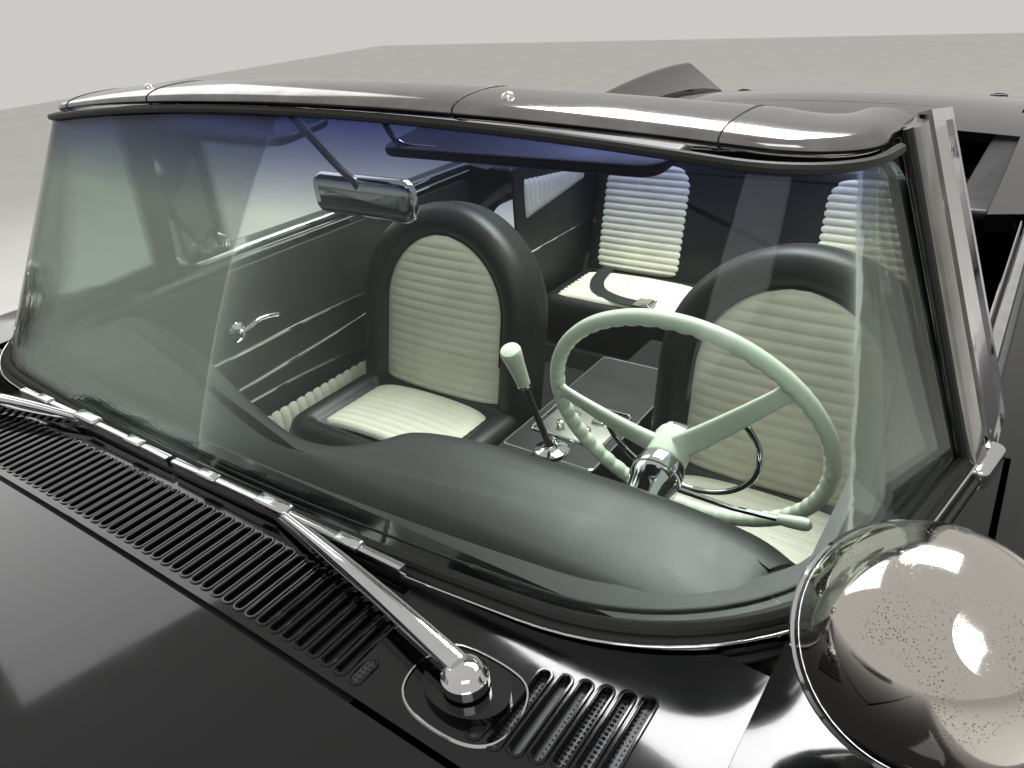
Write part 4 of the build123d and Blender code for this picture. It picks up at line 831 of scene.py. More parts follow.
@dataclass
class Windshield(Assembly):
    """Mouldings, seals and seams round the wraparound glass."""

    header_low: float = 1320.0
    header_high: float = 1340.0
    header_out: float = 10.0
    plump: float = 3.0
    swell: float = 1.02
    seam_x: tuple[float, ...] = (-520.0, -262.0, 262.0, 520.0)
    stud_x: tuple[float, ...] = (-300.0, 300.0)
    stud_column: int = 5
    stud: Profile = ((6.5, -3), (6.5, 1), (5.0, 3.2), (2.4, 4.4), (0.4, 4.7))
    pillar_foot: Point = (765.0, -495.0, 932.0)
    pillar_top: Point = (649.2, -538.9, 1296.0)
    pillar_width: float = 41.0
    cap_place: Point = (762.0, -503.0, 0.0)

    @property
    def header_mid(self) -> float:
        """Height of the header's middle at the centre line."""
        return (self.header_low + self.header_high) / 2

    def header_rows(self, first: int, last: int, sides: int = 26) -> Array:
        """Rounded sections of the header.

        Args:
            first: The plan's column where they start.
            last: The column before which they end.
            sides: Points round each section.

        Returns:
            Points as sections x sides x 3.
        """
        front = on_glass(self.header_mid, self.header_out)
        back, _ = HEADER_BACK.whole()
        z = self.header_mid - header_drop(front[:, 0])
        rise = (self.header_high - self.header_low) / 2 + self.plump
        a = np.linspace(0, TAU, sides, endpoint=False)
        wide = np.sign(np.cos(a)) * np.abs(np.cos(a)) ** 0.84
        tall = np.sign(np.sin(a)) * np.abs(np.sin(a)) ** 0.9
        rows = []
        for i in range(first, last):
            f = np.array((front[i, 0], front[i, 1], z[i]))
            b = np.array((back[i, 0], back[i, 1], z[i] + 1.0))
            mid, half = (f + b) / 2, (f - b) / 2
            rows.append(mid + half * self.swell * wide[:, None] + np.array((0, 0, rise)) * tall[:, None])
        return np.array(rows)

    def section_at(self, x: float) -> Array:
        """Find the header's section nearest to a place.

        Args:
            x: The place.

        Returns:
            The section's points.
        """
        front = on_glass(self.header_mid, self.header_out)
        column = int(np.argmin(np.abs(front[:, 0] - x)))
        return self.header_rows(column, column + 1)[0]

    def header(self) -> None:
        """The header moulding with the joints of its pieces and its studs."""
        rows = self.header_rows(0, len(on_glass(self.header_mid)))
        self.shop.piece("header_moulding", Shape().skin(rows, around=True, caps=True), Finish.STAINLESS,
                        edge=55, replaces=("windshield_frame",))
        seams, studs = Shape(), Shape()
        for x in self.seam_x:
            ring = self.section_at(x)
            mid = ring.mean(0)
            seams.tube(mid + (ring - mid) * 1.004, 0.9, 6, closed=True, up=(1, 0.1, 0))
        for x in self.stud_x:
            studs.lathe(self.stud, self.section_at(x)[self.stud_column], (0, -0.25, 1), 20)
        self.shop.piece("header_seams", seams, Finish.RUBBER)
        self.shop.piece("header_studs", studs, Finish.CHROME)

    def seals(self) -> None:
        """Rubber round the glass and a bright strip at its foot."""
        count = len(on_glass(GLASS_BASE.height))
        clear_of_pillars = slice(2, count - 2)
        self.shop.piece("glass_seal_base", Shape().tube(on_glass(952.0, 2.0)[clear_of_pillars], 6.0, 8),
                        Finish.RUBBER)
        # Each strip's name, height, distance outwards, part of the plan, section and finish.
        strips = (
            ("base_rail", 940.0, -5.5, slice(0, count), (27.0, 21.0, 5.0, 4), Finish.RUBBER),
            ("base_strip", 941.0, 9.5, clear_of_pillars, (3.4, 15.0, 1.5, 3), Finish.CHROME),
            ("cowl_seal", 931.5, 11.0, clear_of_pillars, (9.0, 6.0, 2.8, 3), Finish.RUBBER),
        )
        for name, height, out, part, section, finish in strips:
            self.shop.piece(name, Shape().sweep(on_glass(height, out)[part], round_outline(*section)), finish)
        under = on_glass(self.header_low - 1.5 - header_drop(on_glass(1318.0)[:, 0]), 3.0)
        self.shop.piece("glass_seal_header", Shape().tube(under[8:count - 8], 5.0, 8), Finish.RUBBER)

    def pillars(self) -> None:
        """Stainless outer covers and black inner covers of the pillars, with caps at their feet."""
        t = np.linspace(0.0, 1.0, 14)[:, None]
        axis = np.array(self.pillar_foot) * (1 - t) + np.array(self.pillar_top) * t
        lean = np.radians(GLASS_BASE.angle * (1 - t[:, 0]) + GLASS_TOP.angle * t[:, 0])
        ahead = np.stack((-np.sin(lean), -np.cos(lean), np.zeros(len(t))), 1)
        out = np.stack((np.cos(lean), -np.sin(lean), np.zeros(len(t))), 1)
        # Each cover's name, width beside the pillar's, section, distance outwards and finish.
        covers = (
            ("pillar_moulding", 2.0, (20.0, 7.0, 6), 1.0, Finish.STAINLESS),
            ("pillar_lining", -2.0, (16.0, 6.0, 5), -17.0, Finish.BLACK_VINYL),
        )
        for name, wider, section, off, finish in covers:
            flat = round_outline(self.pillar_width + wider, *section)[None]
            rows = (axis[:, None] + ahead[:, None] * (flat[..., :1] + self.pillar_width / 2)
                    + out[:, None] * (flat[..., 1:2] + off))
            self.shop.pair(name, Shape().skin(rows, around=True, caps=True), finish)
        edge = axis + ahead * (self.pillar_width + 2.5) + out * 3.0
        self.shop.pair("pillar_seal", Shape().tube(edge, 4.5, 8), Finish.RUBBER)
        along_sill = Flat(self.cap_place, (0.18, 0.98, 0), (-0.98, 0.18, 0))
        cap = Shape().slab(round_outline(74.0, 44.0, 12.0), along_sill, 926.0, 943.0, 5.0)
        self.shop.pair("pillar_foot_cap", cap, Finish.CHROME)

    def build(self) -> None:
        """Build every part of the windshield's trim."""
        self.header()
        self.seals()
        self.pillars()


COWL_TOP = 962.0
COWL_FALL = 24.0
COWL_HALF = 667.0


def cowl_height(x: float | Array) -> float | Array:
    """Height of the cowl's crowned top at x."""
    return COWL_TOP - COWL_FALL * (np.asarray(x) / COWL_HALF) ** 2


@dataclass
class CowlVent(Assembly):
    """Rims and punched screens of the air slots, and the beads round the wiper bosses."""

    pitch: float = 16.0
    length: float = 78.0
    width: float = 9.0
    bead: float = 1.5
    middle: int = 48
    middle_y: float = -1052.0
    outer: int = 6
    outer_x: float = 558.0
    outer_y: float = -1026.0
    outer_step: float = 4.6
    short_length: float = 24.0
    short_places: Profile = ((393.0, -1079.0), (501.0, -1066.0))
    # Each screen's lowest and highest x.
    screen_spans: Profile = ((-400.0, 400.0), (508.0, 608.0), (-608.0, -508.0))
    screen_steps: int = 24
    screen_half: float = 54.0
    screen_depth: float = 7.0
    boss: tuple[float, float] = (475.0, -1050.0)
    boss_outline: Profile = ((-45, -22), (-22, -37), (22, -37), (45, -22), (48, 8), (30, 34), (-30, 34),
                             (-48, 8))

    def places(self) -> list[tuple[float, float]]:
        """Place every long slot.

        Returns:
            The slots' centres.
        """
        half = (self.middle - 1) / 2
        found = [((i - half) * self.pitch, self.middle_y) for i in range(self.middle)]
        for sign in (-1, 1):
            for i in range(self.outer):
                x = self.outer_x + (i - (self.outer - 1) / 2) * self.pitch
                found.append((sign * x, self.outer_y + self.outer_step * (i - (self.outer - 1) / 2)))
        return found

    def rim(self, rims: Shape, outline: Array, x: float, y: float) -> None:
        """Add the bead round one slot.

        Args:
            rims: The shape that takes it.
            outline: The slot's outline about its centre.
            x: The slot's centre.
            y: The slot's centre.
        """
        path = level(outline + (x, y), float(cowl_height(x)) + 0.2)
        rims.tube(path, self.bead, 6, closed=True, up=UP)

    def build(self) -> None:
        """Build the rims, the screens and the beads."""
        rims, screens, beads = Shape(), Shape(), Shape()
        grown = 2 * self.bead + 0.2
        long = round_outline(self.width + grown, self.length + grown, self.width / 2 + self.bead, 4)
        for x, y in self.places():
            self.rim(rims, long, x, y)
        short = round_outline(self.width, self.short_length, self.width / 2 - 0.1, 4)
        for x, y in self.short_places:
            for sign in (-1, 1):
                z = float(cowl_height(x))
                self.rim(rims, inset(short, -1.4), sign * x, y)
                screens.slab(short, plan_at(sign * x, y), z - 3.0, z + 0.4, 0.3, 1)
        self.shop.piece("slot_rims", rims, Finish.LACQUER)
        for (low, high), y in zip(self.screen_spans, (self.middle_y, self.outer_y, self.outer_y)):
            xs = np.linspace(low, high, self.screen_steps)
            z = cowl_height(xs) - self.screen_depth
            front, rear = (level(np.column_stack((xs, np.full(len(xs), y + off))), z)
                           for off in (-self.screen_half, self.screen_half))
            screens.skin(np.stack((front, rear), 1))
        self.shop.piece("slot_screens", screens, Finish.SCREEN)
        for sign in (-1, 1):
            ring = smooth_line(self.boss_outline, 8, True) + (sign * self.boss[0], self.boss[1])
            beads.tube(level(ring, cowl_height(ring[:, 0]) + 0.4), 1.4, 6, closed=True, up=UP)
        self.shop.piece("wiper_boss_beads", beads, Finish.CHROME)


@dataclass
class Wipers(Assembly):
    """Details on the two wipers: pivots, ribbed arms, bridges and rubber edges."""

    pivot: Point = (475.0, -1048.0, 974.0)
    joint: Point = (181.5, -988.0, 976.0)
    blade_half: float = 176.0
    arm_steps: int = 14
    blade_steps: int = 25
    bridges: tuple[float, ...] = (-0.62, 0.62)
    cap: Profile = ((19, -14), (19, -5), (17, -3), (15.5, 1), (13, 3.5), (9, 4.5), (0.5, 5))

    def build(self) -> None:
        """Build both wipers' details."""
        for side, sign in SIDES:
            pivot, joint = np.array(self.pivot) * (sign, 1, 1), np.array(self.joint) * (sign, 1, 1)
            metal, rubber = Shape().lathe(self.cap, pivot, UP, 28), Shape()
            t = np.linspace(0.02, 1.0, self.arm_steps)[:, None]
            arm = pivot + (joint - pivot) * t + UP * (7 * np.sin(t * math.pi))
            # The arm and the rib on it, each with its lift, section and scale at both ends.
            for lift, section, ends in ((0, (13.0, 9.0, 3.5, 3), (1.5, 0.62)),
                                        (4.2, (4.0, 3.0, 1.2, 2), (1.2, 0.6))):
                metal.sweep(arm + (0, 0, lift), round_outline(*section),
                            scale=np.linspace(*ends, self.arm_steps))
            metal.block(joint - (24, 8, 5), joint + (24, 8, 8), 3.0)
            span = np.linspace(-self.blade_half, self.blade_half, self.blade_steps)
            bow = 3.0 * (1 - (span / self.blade_half) ** 2)
            spine = np.column_stack((joint[0] + span, np.full(len(span), joint[1] - 1.0),
                                     joint[2] - 1.0 + bow))
            metal.sweep(spine, round_outline(8.6, 5.0, 2.0, 2))
            for foot in self.bridges:
                at = joint + (foot * self.blade_half, -1.0, 1.0)
                metal.block(at - (16, 6.5, 3), at + (16, 6.5, 5), 2.5)
            rubber.sweep(spine - (0, -4.0, 7.0), round_outline(4.0, 9.0, 1.5, 2))
            self.shop.piece(f"wiper_metal_{side}", metal, Finish.CHROME)
            self.shop.piece(f"wiper_rubber_{side}", rubber, Finish.RUBBER)


@dataclass
class Spotlamps(Assembly):
    """Rims, lenses, fluted knobs and feet of the bullet spotlamps."""

    place: Point = (760.0, -900.0, 1022.0)
    way: Point = (0.35, -0.55, 0.76)
    radius: float = 82.5
    rim: Profile = ((-8, -9), (0.5, -9.5), (3.2, -7), (3.2, -3), (1.2, -1), (1.2, 2), (0.3, 6), (-6, 6.5))
    flutes: int = 22
    knob: Profile = ((9, -16), (9, 0), (13, 2), (15.5, 5), (15.5, 15), (13, 18), (7, 19.5), (0.5, 20))
    foot: Profile = ((26, -4), (26, 2), (22, 6), (14, 9), (12, 20), (10.8, 24))
    neck: Profile = ((17, -12), (19, -4), (19, 6), (13, 14))
    foot_place: Point = (768.0, -880.0, 931.0)
    stem: Point = (-0.05, -0.15, 1)

    def build(self) -> None:
        """Build the left lamp's trim and its twin."""
        centre, way, r = np.array(self.place), unit(self.way), self.radius
        rim = Shape().lathe([(r + grown, h) for grown, h in self.rim], centre, way, 72, ring=True)
        self.shop.pair("spotlamp_rim", rim, Finish.CHROME)
        glass = ((r - 7, -9), (r - 9, -14), (r * 0.6, -21), (r * 0.3, -24), (1.0, -25))
        self.shop.pair("spotlamp_lens", Shape().lathe(glass, centre, way, 56), Finish.CLEAR)
        side = unit(np.cross(way, UP))
        knob_at = centre - side * (r - 4.0) + way * 8.0
        knob = Shape().lathe(self.knob, knob_at, -side, self.flutes)
        for k in range(self.flutes):
            a = TAU * k / self.flutes
            ring = math.cos(a) * way + math.sin(a) * np.cross(-side, way)
            start = knob_at + ring * 15.3 - side * 5.5
            knob.tube((start, start - side * 9.0), 1.3, 5)
        self.shop.pair("spotlamp_knob", knob, Finish.CHROME)
        foot = Shape().lathe(self.foot, self.foot_place, self.stem, 32)
        foot.lathe(self.neck, centre - way * 10.0 + np.array((3.0, 8.0, -70.0)), self.stem, 28)
        self.shop.pair("spotlamp_foot", foot, Finish.CHROME)


HalfWidth = Callable[[float], float]


def rounded_half(width: float, height: float, radius: float, top_radius: float | None = None) -> HalfWidth:
    """Describe a rectangle with rounded corners by its half width.

    Args:
        width: Its width.
        height: Its height.
        radius: Its corners' radius.
        top_radius: Another radius for the upper corners.

    Returns:
        A function that gives the half width at a height about the middle.
    """
    def at(v: float) -> float:
        """Find the half width.

        Args:
            v: Height about the middle.

        Returns:
            The half width there.
        """
        r = radius if v < 0 or top_radius is None else top_radius
        over = abs(v) - (height / 2 - r)
        return width / 2 if over <= 0 else width / 2 - r + math.sqrt(max(r * r - over * over, 0.0))
    return at


@dataclass(frozen=True)
class Pleats:
    """A quilted panel: sewn channels over foam, crowned and rolled in at its edges."""

    flat: Flat
    half: HalfWidth
    low: float
    high: float
    pitch: float = 23.5
    puff: float = 4.6
    crown: float = 7.0
    base: float = 0.0
    roll: float = 9.0
    roll_length: float = 14.0
    step: float = 2.4
    columns: int = 26
    wander: float = 0.35

    def shape(self) -> Shape:
        """Build the panel's skin, open at the back.

        Returns:
            The shape.
        """
        s = np.sin(np.linspace(-math.pi / 2, math.pi / 2, self.columns))
        rows = []
        for height in np.arange(self.low, self.high + self.step / 2, self.step):
            w = max(self.half(float(height)), 2.0)
            channel = abs(math.sin(math.pi * ((height - self.low) / self.pitch))) ** 0.55
            end = min(height - self.low, self.high - height) / self.roll_length
            tuck = self.roll * (1 - math.sqrt(min(max(end, 0.0), 1.0)))
            out = (self.base + self.crown * (1 - s ** 2) + self.puff * channel * (1 - s ** 8)
                   - self.roll * s ** 10 - tuck)
            wave = self.wander * math.sin(height * 0.21) * np.cos(3 * s)
            rows.append(self.flat.at(np.column_stack((w * s, np.full(self.columns, height) + wave)), out))
        return Shape().skin(np.array(rows))


@dataclass
class BucketSeat(Assembly):
    """One front bucket seat: a rolled shell, a cushion and their pleated panels."""

    side: str
    sign: int
    x: float = 430.0
    half: float = 268.0
    arch_v: float = 229.8
    recline: float = 13.0
    insert_r: float = 190.0
    roll: Profile = ((40, -119), (22, -117), (9, -108), (2, -95), (0, -80), (0, -58), (0, -38), (2, -21),
                     (8, -6), (18, 4), (32, 9), (46, 9), (60, 4), (70, -4), (78, -12), (84, -20))
    cushion: tuple[float, ...] = (536.0, 375.0, 82.0, 10)
    cushion_y: float = -212.5
    dome: Profile = ((6, 286), (0, 296), (0, 360), (0, 450), (3, 470), (12, 488), (26, 497), (44, 499),
                     (60, 495), (70, 488), (77, 480))

    def back_outline(self) -> Array:
        """Draw the back's outline in its face plane.

        Returns:
            Flat points, anticlockwise.
        """
        h = self.half
        foot = [(-h + 40, -176.0), (-90, -180), (90, -180), (h - 40, -176.0), (h - 12, -160), (h, -120.0),
                (h, 0.0), (h, 120.0)]
        arch = [(h * math.cos(a), self.arch_v + h * math.sin(a)) for a in np.linspace(0, math.pi, 60)]
        return np.array(foot + arch + [(-h, 120.0), (-h, 0.0), (-h, -120.0), (-h + 12, -160)])

    def insert_half(self, v: float) -> float:
        """Half width of the back's pleated panel at a height: upright sides under a half circle."""
        over = v - self.arch_v
        return self.insert_r if over <= 0 else math.sqrt(max(self.insert_r ** 2 - over ** 2, 0.0))

    def build(self) -> None:
        """Build the seat's pieces."""
        x = self.sign * self.x
        lean = math.radians(self.recline)
        face = Flat((x, -85.0, 480.0), ACROSS, (0, math.sin(lean), math.cos(lean)))
        outline = self.back_outline()
        self.shop.pad(f"seat_back_{self.side}", Shape().loft(outline, face, self.roll),
                      (f"front_seat_{self.side}",))
        stitch = Shape()
        for by, out in ((1.0, -33.0), (0.4, -44.0)):
            stitch.tube(face.at(inset(outline, by)[5:-2], out), 1.3, 6)
        stitch.tube(face.at(inset(outline, 79.0)[7:-4], -10.0), 2.4, 7)
        self.shop.piece(f"seat_stitching_{self.side}", stitch, Finish.RUBBER)
        top = self.arch_v + self.insert_r - 1.0
        self.shop.quilt(f"seat_back_panel_{self.side}",
                        Pleats(face, self.insert_half, 10.0, top, base=-13.0, crown=12.0))
        cushion = Shape().loft(round_outline(*self.cushion), plan_at(x, self.cushion_y), self.dome)
        self.shop.pad(f"seat_cushion_{self.side}", cushion)
        half = rounded_half(380.0, 227.0, 30.0)
        panel = Pleats(plan_at(x, -203.5, 486.0), half, -113.0, 113.0, base=-2.0, crown=12.0)
        self.shop.quilt(f"seat_cushion_panel_{self.side}", panel)
        pedestal = Shape().block((x - 180, -330, 236), (x + 180, 30, 287), 6.0)
        self.shop.piece(f"seat_pedestal_{self.side}", pedestal, Finish.UNDERSEAL)


@dataclass
class RearSeat(Assembly):
    """The bench behind: a leaning back and a cushion, each with two pleated panels."""

    half: float = 585.0
    foot: Point = (0.0, 960.0, 440.0)
    head: Point = (0.0, 1080.0, 862.0)
    panel_x: float = 376.0
    cushion_panel_x: float = 318.0
    roll: Profile = ((30, -130), (6, -120), (0, -100), (0, -40), (3, -20), (12, -6), (26, 1), (44, 3),
                     (60, 3))
    cushion_y: float = 810.0
    dome: Profile = ((6, 302), (0, 312), (0, 420), (3, 444), (14, 460), (32, 468), (52, 470), (66, 470))
    belt_width: float = 48.0
    belt_line: tuple[Point, ...] = ((-470, 945, 480), (-462, 880, 483), (-440, 800, 484), (-396, 735, 484),
                                    (-330, 702, 483), (-260, 690, 482), (-190, 686, 482))

    def build(self) -> None:
        """Build the bench's pieces and the belt that lies on it."""
        up = tuple(np.subtract(self.head, self.foot))
        tall = float(np.linalg.norm(up))
        face = Flat(self.foot, ACROSS, up)
        outline = round_outline(2 * self.half, tall + 30.0, 44.0, 8) + (0, tall / 2 - 15.0)
        self.shop.pad("rear_seat_back", Shape().loft(outline, face, self.roll), ("rear_seat",))
        plan = round_outline(2 * self.half, 340.0, 50.0, 8)
        self.shop.pad("rear_seat_cushion", Shape().loft(plan, plan_at(0.0, self.cushion_y), self.dome))
        for side, sign in SIDES:
            on_back = Flat(tuple(face.spot(sign * self.panel_x, 215.0)), ACROSS, up)
            half = rounded_half(356.0, 380.0, 40.0, 80.0)
            self.shop.quilt(f"rear_back_panel_{side}",
                            Pleats(on_back, half, -189.0, 189.0, base=1.0, crown=9.0, roll=10.0))
            on_top = plan_at(sign * self.cushion_panel_x, 795.0, 468.0)
            half = rounded_half(480.0, 250.0, 36.0)
            self.shop.quilt(f"rear_cushion_panel_{side}", Pleats(on_top, half, -124.0, 124.0, crown=9.0))
        self.belt()

    def belt(self) -> None:
        """A lap belt of black webbing laid over the cushion, with its buckle."""
        line = smooth_line(self.belt_line, 8)
        side = unit(np.cross(np.gradient(line, axis=0), UP)) * self.belt_width / 2
        rows = np.stack((line - side, line, line + side), 1)
        strap = self.shop.piece("rear_belt", Shape().skin(rows), Finish.RUBBER)
        length = float(np.linalg.norm(np.diff(line, axis=0), axis=1).sum())
        buckle = Shape().block((-236, 657, 482), (-176, 717, 491), 3.0)
        buckle.block((-208, 661, 490), (-184, 713, 495), 2.0)
        self.shop.piece("rear_belt_buckle", buckle, Finish.CHROME)


@dataclass
class Dashboard(Assembly):
    """The twin-lobed pad, the panel under it and what is set in the panel."""

    half: float = 655.0
    front_y: float = -903.0
    rear_edge: Profile = (
        (655.0, -734.0), (591.0, -705.0), (470.0, -692.0), (326.0, -694.0), (210.0, -704.0), (132.0, -728.0),
        (96.0, -778.0), (50.0, -806.0), (-19.0, -806.0), (-139.0, -776.0), (-250.0, -742.0), (-357.0, -712.0),
        (-480.0, -684.0), (-605.0, -664.0), (-655.0, -700.0))
    pad_roll: Profile = ((10, 854), (2, 860), (0, 872), (1, 890), (5, 903), (12, 913), (22, 919), (34, 923),
                         (48, 925))
    panel_y: float = -785.0
    dials: tuple[Point, ...] = ((-330.0, 22.0, 58.0), (-478.0, 22.0, 58.0), (-404.0, -56.0, 24.0),
                                (-232.0, -10.0, 24.0))
    bezel: Profile = ((4, -2), (4, 6), (1, 12), (-3, 13), (-5, 9), (-5, 1))
    marks: int = 9
    first_mark: float = -40.0
    mark_step: float = 32.5
    strip_half: float = 640.0
    strip_z: tuple[float, ...] = (-92.0, 96.0)
    # The insets, each with its middle in x and z, outline and front face.
    insets: tuple[tuple[tuple[float, ...], tuple[float, ...], float], ...] = (
        ((15.0, 776.0), (214.0, 78.0, 10.0), 24.0), ((-390.0, 746.0), (420.0, 130.0, 14.0), 23.0))
    latch: Profile = ((11, 0), (11, 5), (8, 9), (1, 10))
    knob_x: tuple[float, ...] = (-90.0, -40.0, 10.0, 60.0)
    knob: Profile = ((4, 0), (4, 10), (11, 11), (12.5, 14), (12.5, 22), (10, 25), (1, 25.5))

    def pad(self) -> None:
        """The grained pad and the ledge that runs up to the glass."""
        front = np.column_stack((np.linspace(-self.half, self.half, 26), np.full(26, self.front_y)))
        outline = np.vstack((smooth_line(self.rear_edge, 7), front))
        self.shop.pad("dash_pad", Shape().loft(outline, plan_at(0, 0), self.pad_roll), ("dashboard",),
                      fill=0.9)
        glass = on_glass(934.0, -24.0)[:, :2]
        foot = glass[glass[:, 1] < -640.0]
        inner = np.column_stack((np.clip(foot[:, 0] * 0.97, -652, 652),
                                 np.maximum(foot[:, 1] + 60.0, -900.0)))
        ledge = np.array([level(foot, 931.0), level(inner, 924.0)])
        self.shop.piece("dash_ledge", Shape().skin(ledge), Finish.BLACK_VINYL)
        bead = Shape().tube(level(foot * (0.985, 1) + (0, 26.0), 929.0), 2.2, 6)
        self.shop.piece("dash_ledge_bead", bead, Finish.RUBBER)

    def facing(self, x: float, z: float) -> Flat:
        """A place on the panel that faces the cabin."""
        return Flat((x, self.panel_y, z), INBOARD, UP)

    def panel(self) -> None:
        """The instrument panel with dials that carry plain marks only."""
        face = self.facing(0.0, 747.0)
        board = Shape().slab(round_outline(2 * self.half, 212.0, 20.0), face, 0.0, 20.0, 5.0)
        self.shop.piece("dash_panel", board, Finish.LACQUER)
        chrome, dials, hands, panels = Shape(), Shape(), Shape(), Shape()
        for x, z, r in self.dials:
            centre = face.spot(x, z, 20.0)
            chrome.lathe([(r + grown, h) for grown, h in self.bezel], centre, BACK, 48, ring=True)
            dials.lathe(((r - 4, 0), (r - 4, 3), (1.0, 3.2)), centre, BACK, 40)
            hands.tube((centre + (0, 4.5, 0), centre + (r * 0.45, 4.5, r * 0.45)), 1.1, 6)
            for k in range(self.marks):
                a = math.radians(self.first_mark + self.mark_step * k)
                way = np.array((math.cos(a), 0.0, math.sin(a)))
                hands.tube([centre + (0, 4, 0) + way * r * share for share in (0.68, 0.82)], 0.8, 5)
        for z in self.strip_z:
            chrome.tube(face.at(np.array([[-self.strip_half, z], [self.strip_half, z]]), 21.0), 3.2, 8)
        for x in self.knob_x:
            chrome.lathe(self.knob, face.spot(x, -62.0, 19.0), BACK, 24)
        for middle, outline, front in self.insets:
            panels.slab(round_outline(*outline), self.facing(*middle), 18.0, front, 2.0)
        chrome.lathe(self.latch, self.facing(-390.0, 790.0).spot(0.0, 0.0, 23.0), BACK, 24)
        self.shop.piece("dash_brightwork", chrome, Finish.CHROME)
        self.shop.piece("dash_dials", dials, Finish.RUBBER)
        self.shop.piece("dash_hands", hands, Finish.IVORY_PLASTIC)
        self.shop.piece("dash_insets", panels, Finish.BRUSHED)

    def build(self) -> None:
        """Build the dashboard."""
        self.pad()
        self.panel()


@dataclass
class SteeringWheel(Assembly):
    """The dished ivory wheel with finger grips, two spokes and a part horn ring."""

    centre: Point = (405.0, -460.0, 846.0)
    tilt: float = 19.0
    radius: float = 207.0
    grip: float = 12.5
    groove: float = 2.3
    ripples: int = 54
    rim_steps: int = 480
    grip_sides: int = 14
    spoke_angles: tuple[float, ...] = (175.0, 40.0)
    spoke_start: float = 18.0
    spoke_length: float = 186.0
    spoke_steps: int = 22
    dish: float = 44.0
    hub: Profile = ((24, -6), (29, -4), (30, 2), (30, 20), (31, 34), (29, 41), (24, 44), (1, 44))
    hub_cap: Profile = ((25, 0), (25.5, 6), (23, 9), (20, 9), (18.5, 6), (12, 8), (1, 9))
    hub_along: float = -62.0
    cap_along: float = -20.0
    horn_r: float = 118.0
    horn_wire: float = 4.6
    horn_along: float = -22.0
    horn_ends: tuple[float, float] = (38.0, -183.0)
    collar_along: float = -92.0
    collar: Profile = ((27, -22.5), (33, -19.5), (36, -8), (36, 14), (31, 26), (27, 60))
    lever_root: Point = (24.0, 0.0, -104.0)
    lever: tuple[Point, ...] = ((500.0, -512.0, 772.0), (562.0, -502.0, 769.0))
    lever_wire: float = 4.2
    lever_tip: Point = (560.0, -502.0, 769.0)
    lever_way: Point = (0.98, 0.1, 0.06)
    lever_knob: Profile = ((4, 0), (7, 2), (8.5, 14), (9.5, 34), (8, 42), (4, 45), (0.6, 45.6))

    def at(self, radius: float, angle: float, along: float) -> Array:
        """Find a point by its place on the wheel.

        Args:
            radius: Distance from the column's axis.
            angle: Degrees round it, from the car's left.
            along: Distance towards the driver.

        Returns:
            The point.
        """
        t, a = math.radians(self.tilt), math.radians(angle)
        across, up = np.array((1.0, 0, 0)), np.array((0, -math.sin(t), math.cos(t)))
        axis = np.array((0, math.cos(t), math.sin(t)))
        return np.array(self.centre) + radius * (math.cos(a) * across + math.sin(a) * up) + along * axis

    def rim(self, axis: Array) -> Shape:
        """Build the rim, pinched on its inner side for the fingers.

        Args:
            axis: Direction of the column, towards the driver.

        Returns:
            The rim's shape.
        """
        rows = []
        for a in np.linspace(0, 360, self.rim_steps, endpoint=False):
            out = unit(self.at(1, a, 0) - self.at(0, 0, 0))
            ripple = (0.5 + 0.5 * math.cos(math.radians(a) * self.ripples)) ** 2
            ring = []
            for b in np.linspace(0, TAU, self.grip_sides, endpoint=False):
                r = self.grip - self.groove * math.sqrt(max(-math.cos(b), 0.0)) * ripple
                ring.append(self.at(self.radius, a, 0) + r * (math.cos(b) * out * 0.92 + math.sin(b) * axis))
            rows.append(ring)
        return Shape().skin(np.array(rows), around=True, along=True)

    def build(self) -> None:
        """Build the wheel on its own body and the lever beside it on the car."""
        body = "steering_wheel"
        axis = unit(self.at(0, 0, 1) - self.at(0, 0, 0))
        ivory = self.rim(axis)
        t = np.linspace(0, 1, self.spoke_steps)
        lift = -self.dish + (self.dish - 2.0) * t ** 1.3
        waist = 1.0 - 0.42 * t + 0.25 * np.clip((t - 0.88) / 0.12, 0, 1) ** 2
        for angle in self.spoke_angles:
            path = np.array([self.at(self.spoke_start + self.spoke_length * s, angle, h)
                             for s, h in zip(t, lift)])
            ivory.sweep(path, round_outline(40.0, 15.0, 7.0, 5), axis, scale=waist)
        ivory.lathe(self.hub, self.at(0, 0, self.hub_along), axis, 48)
        self.shop.piece("wheel_grip", ivory, Finish.IVORY_PLASTIC, body, replaces=("steering_wheel",))
        bright = Shape().lathe(self.hub_cap, self.at(0, 0, self.cap_along), axis, 48)
        arc = [self.at(self.horn_r, a, self.horn_along + 4 * math.sin(math.radians(a + 72.5)) ** 2)
               for a in np.linspace(*self.horn_ends, 90)]
        bright.tube(arc, self.horn_wire, 10)
        self.shop.piece("horn_ring", bright, Finish.CHROME, body)
        collar = Shape().lathe(self.collar, self.at(0, 0, self.collar_along), -axis, 40)
        self.shop.piece("column_collar", collar, Finish.CHROME)
        lever = Shape().tube((self.at(*self.lever_root), *self.lever), self.lever_wire, 10)
        self.shop.piece("signal_lever", lever, Finish.CHROME)
        knob = Shape().lathe(self.lever_knob, self.lever_tip, self.lever_way, 20)
        self.shop.piece("signal_lever_knob", knob, Finish.IVORY_PLASTIC)


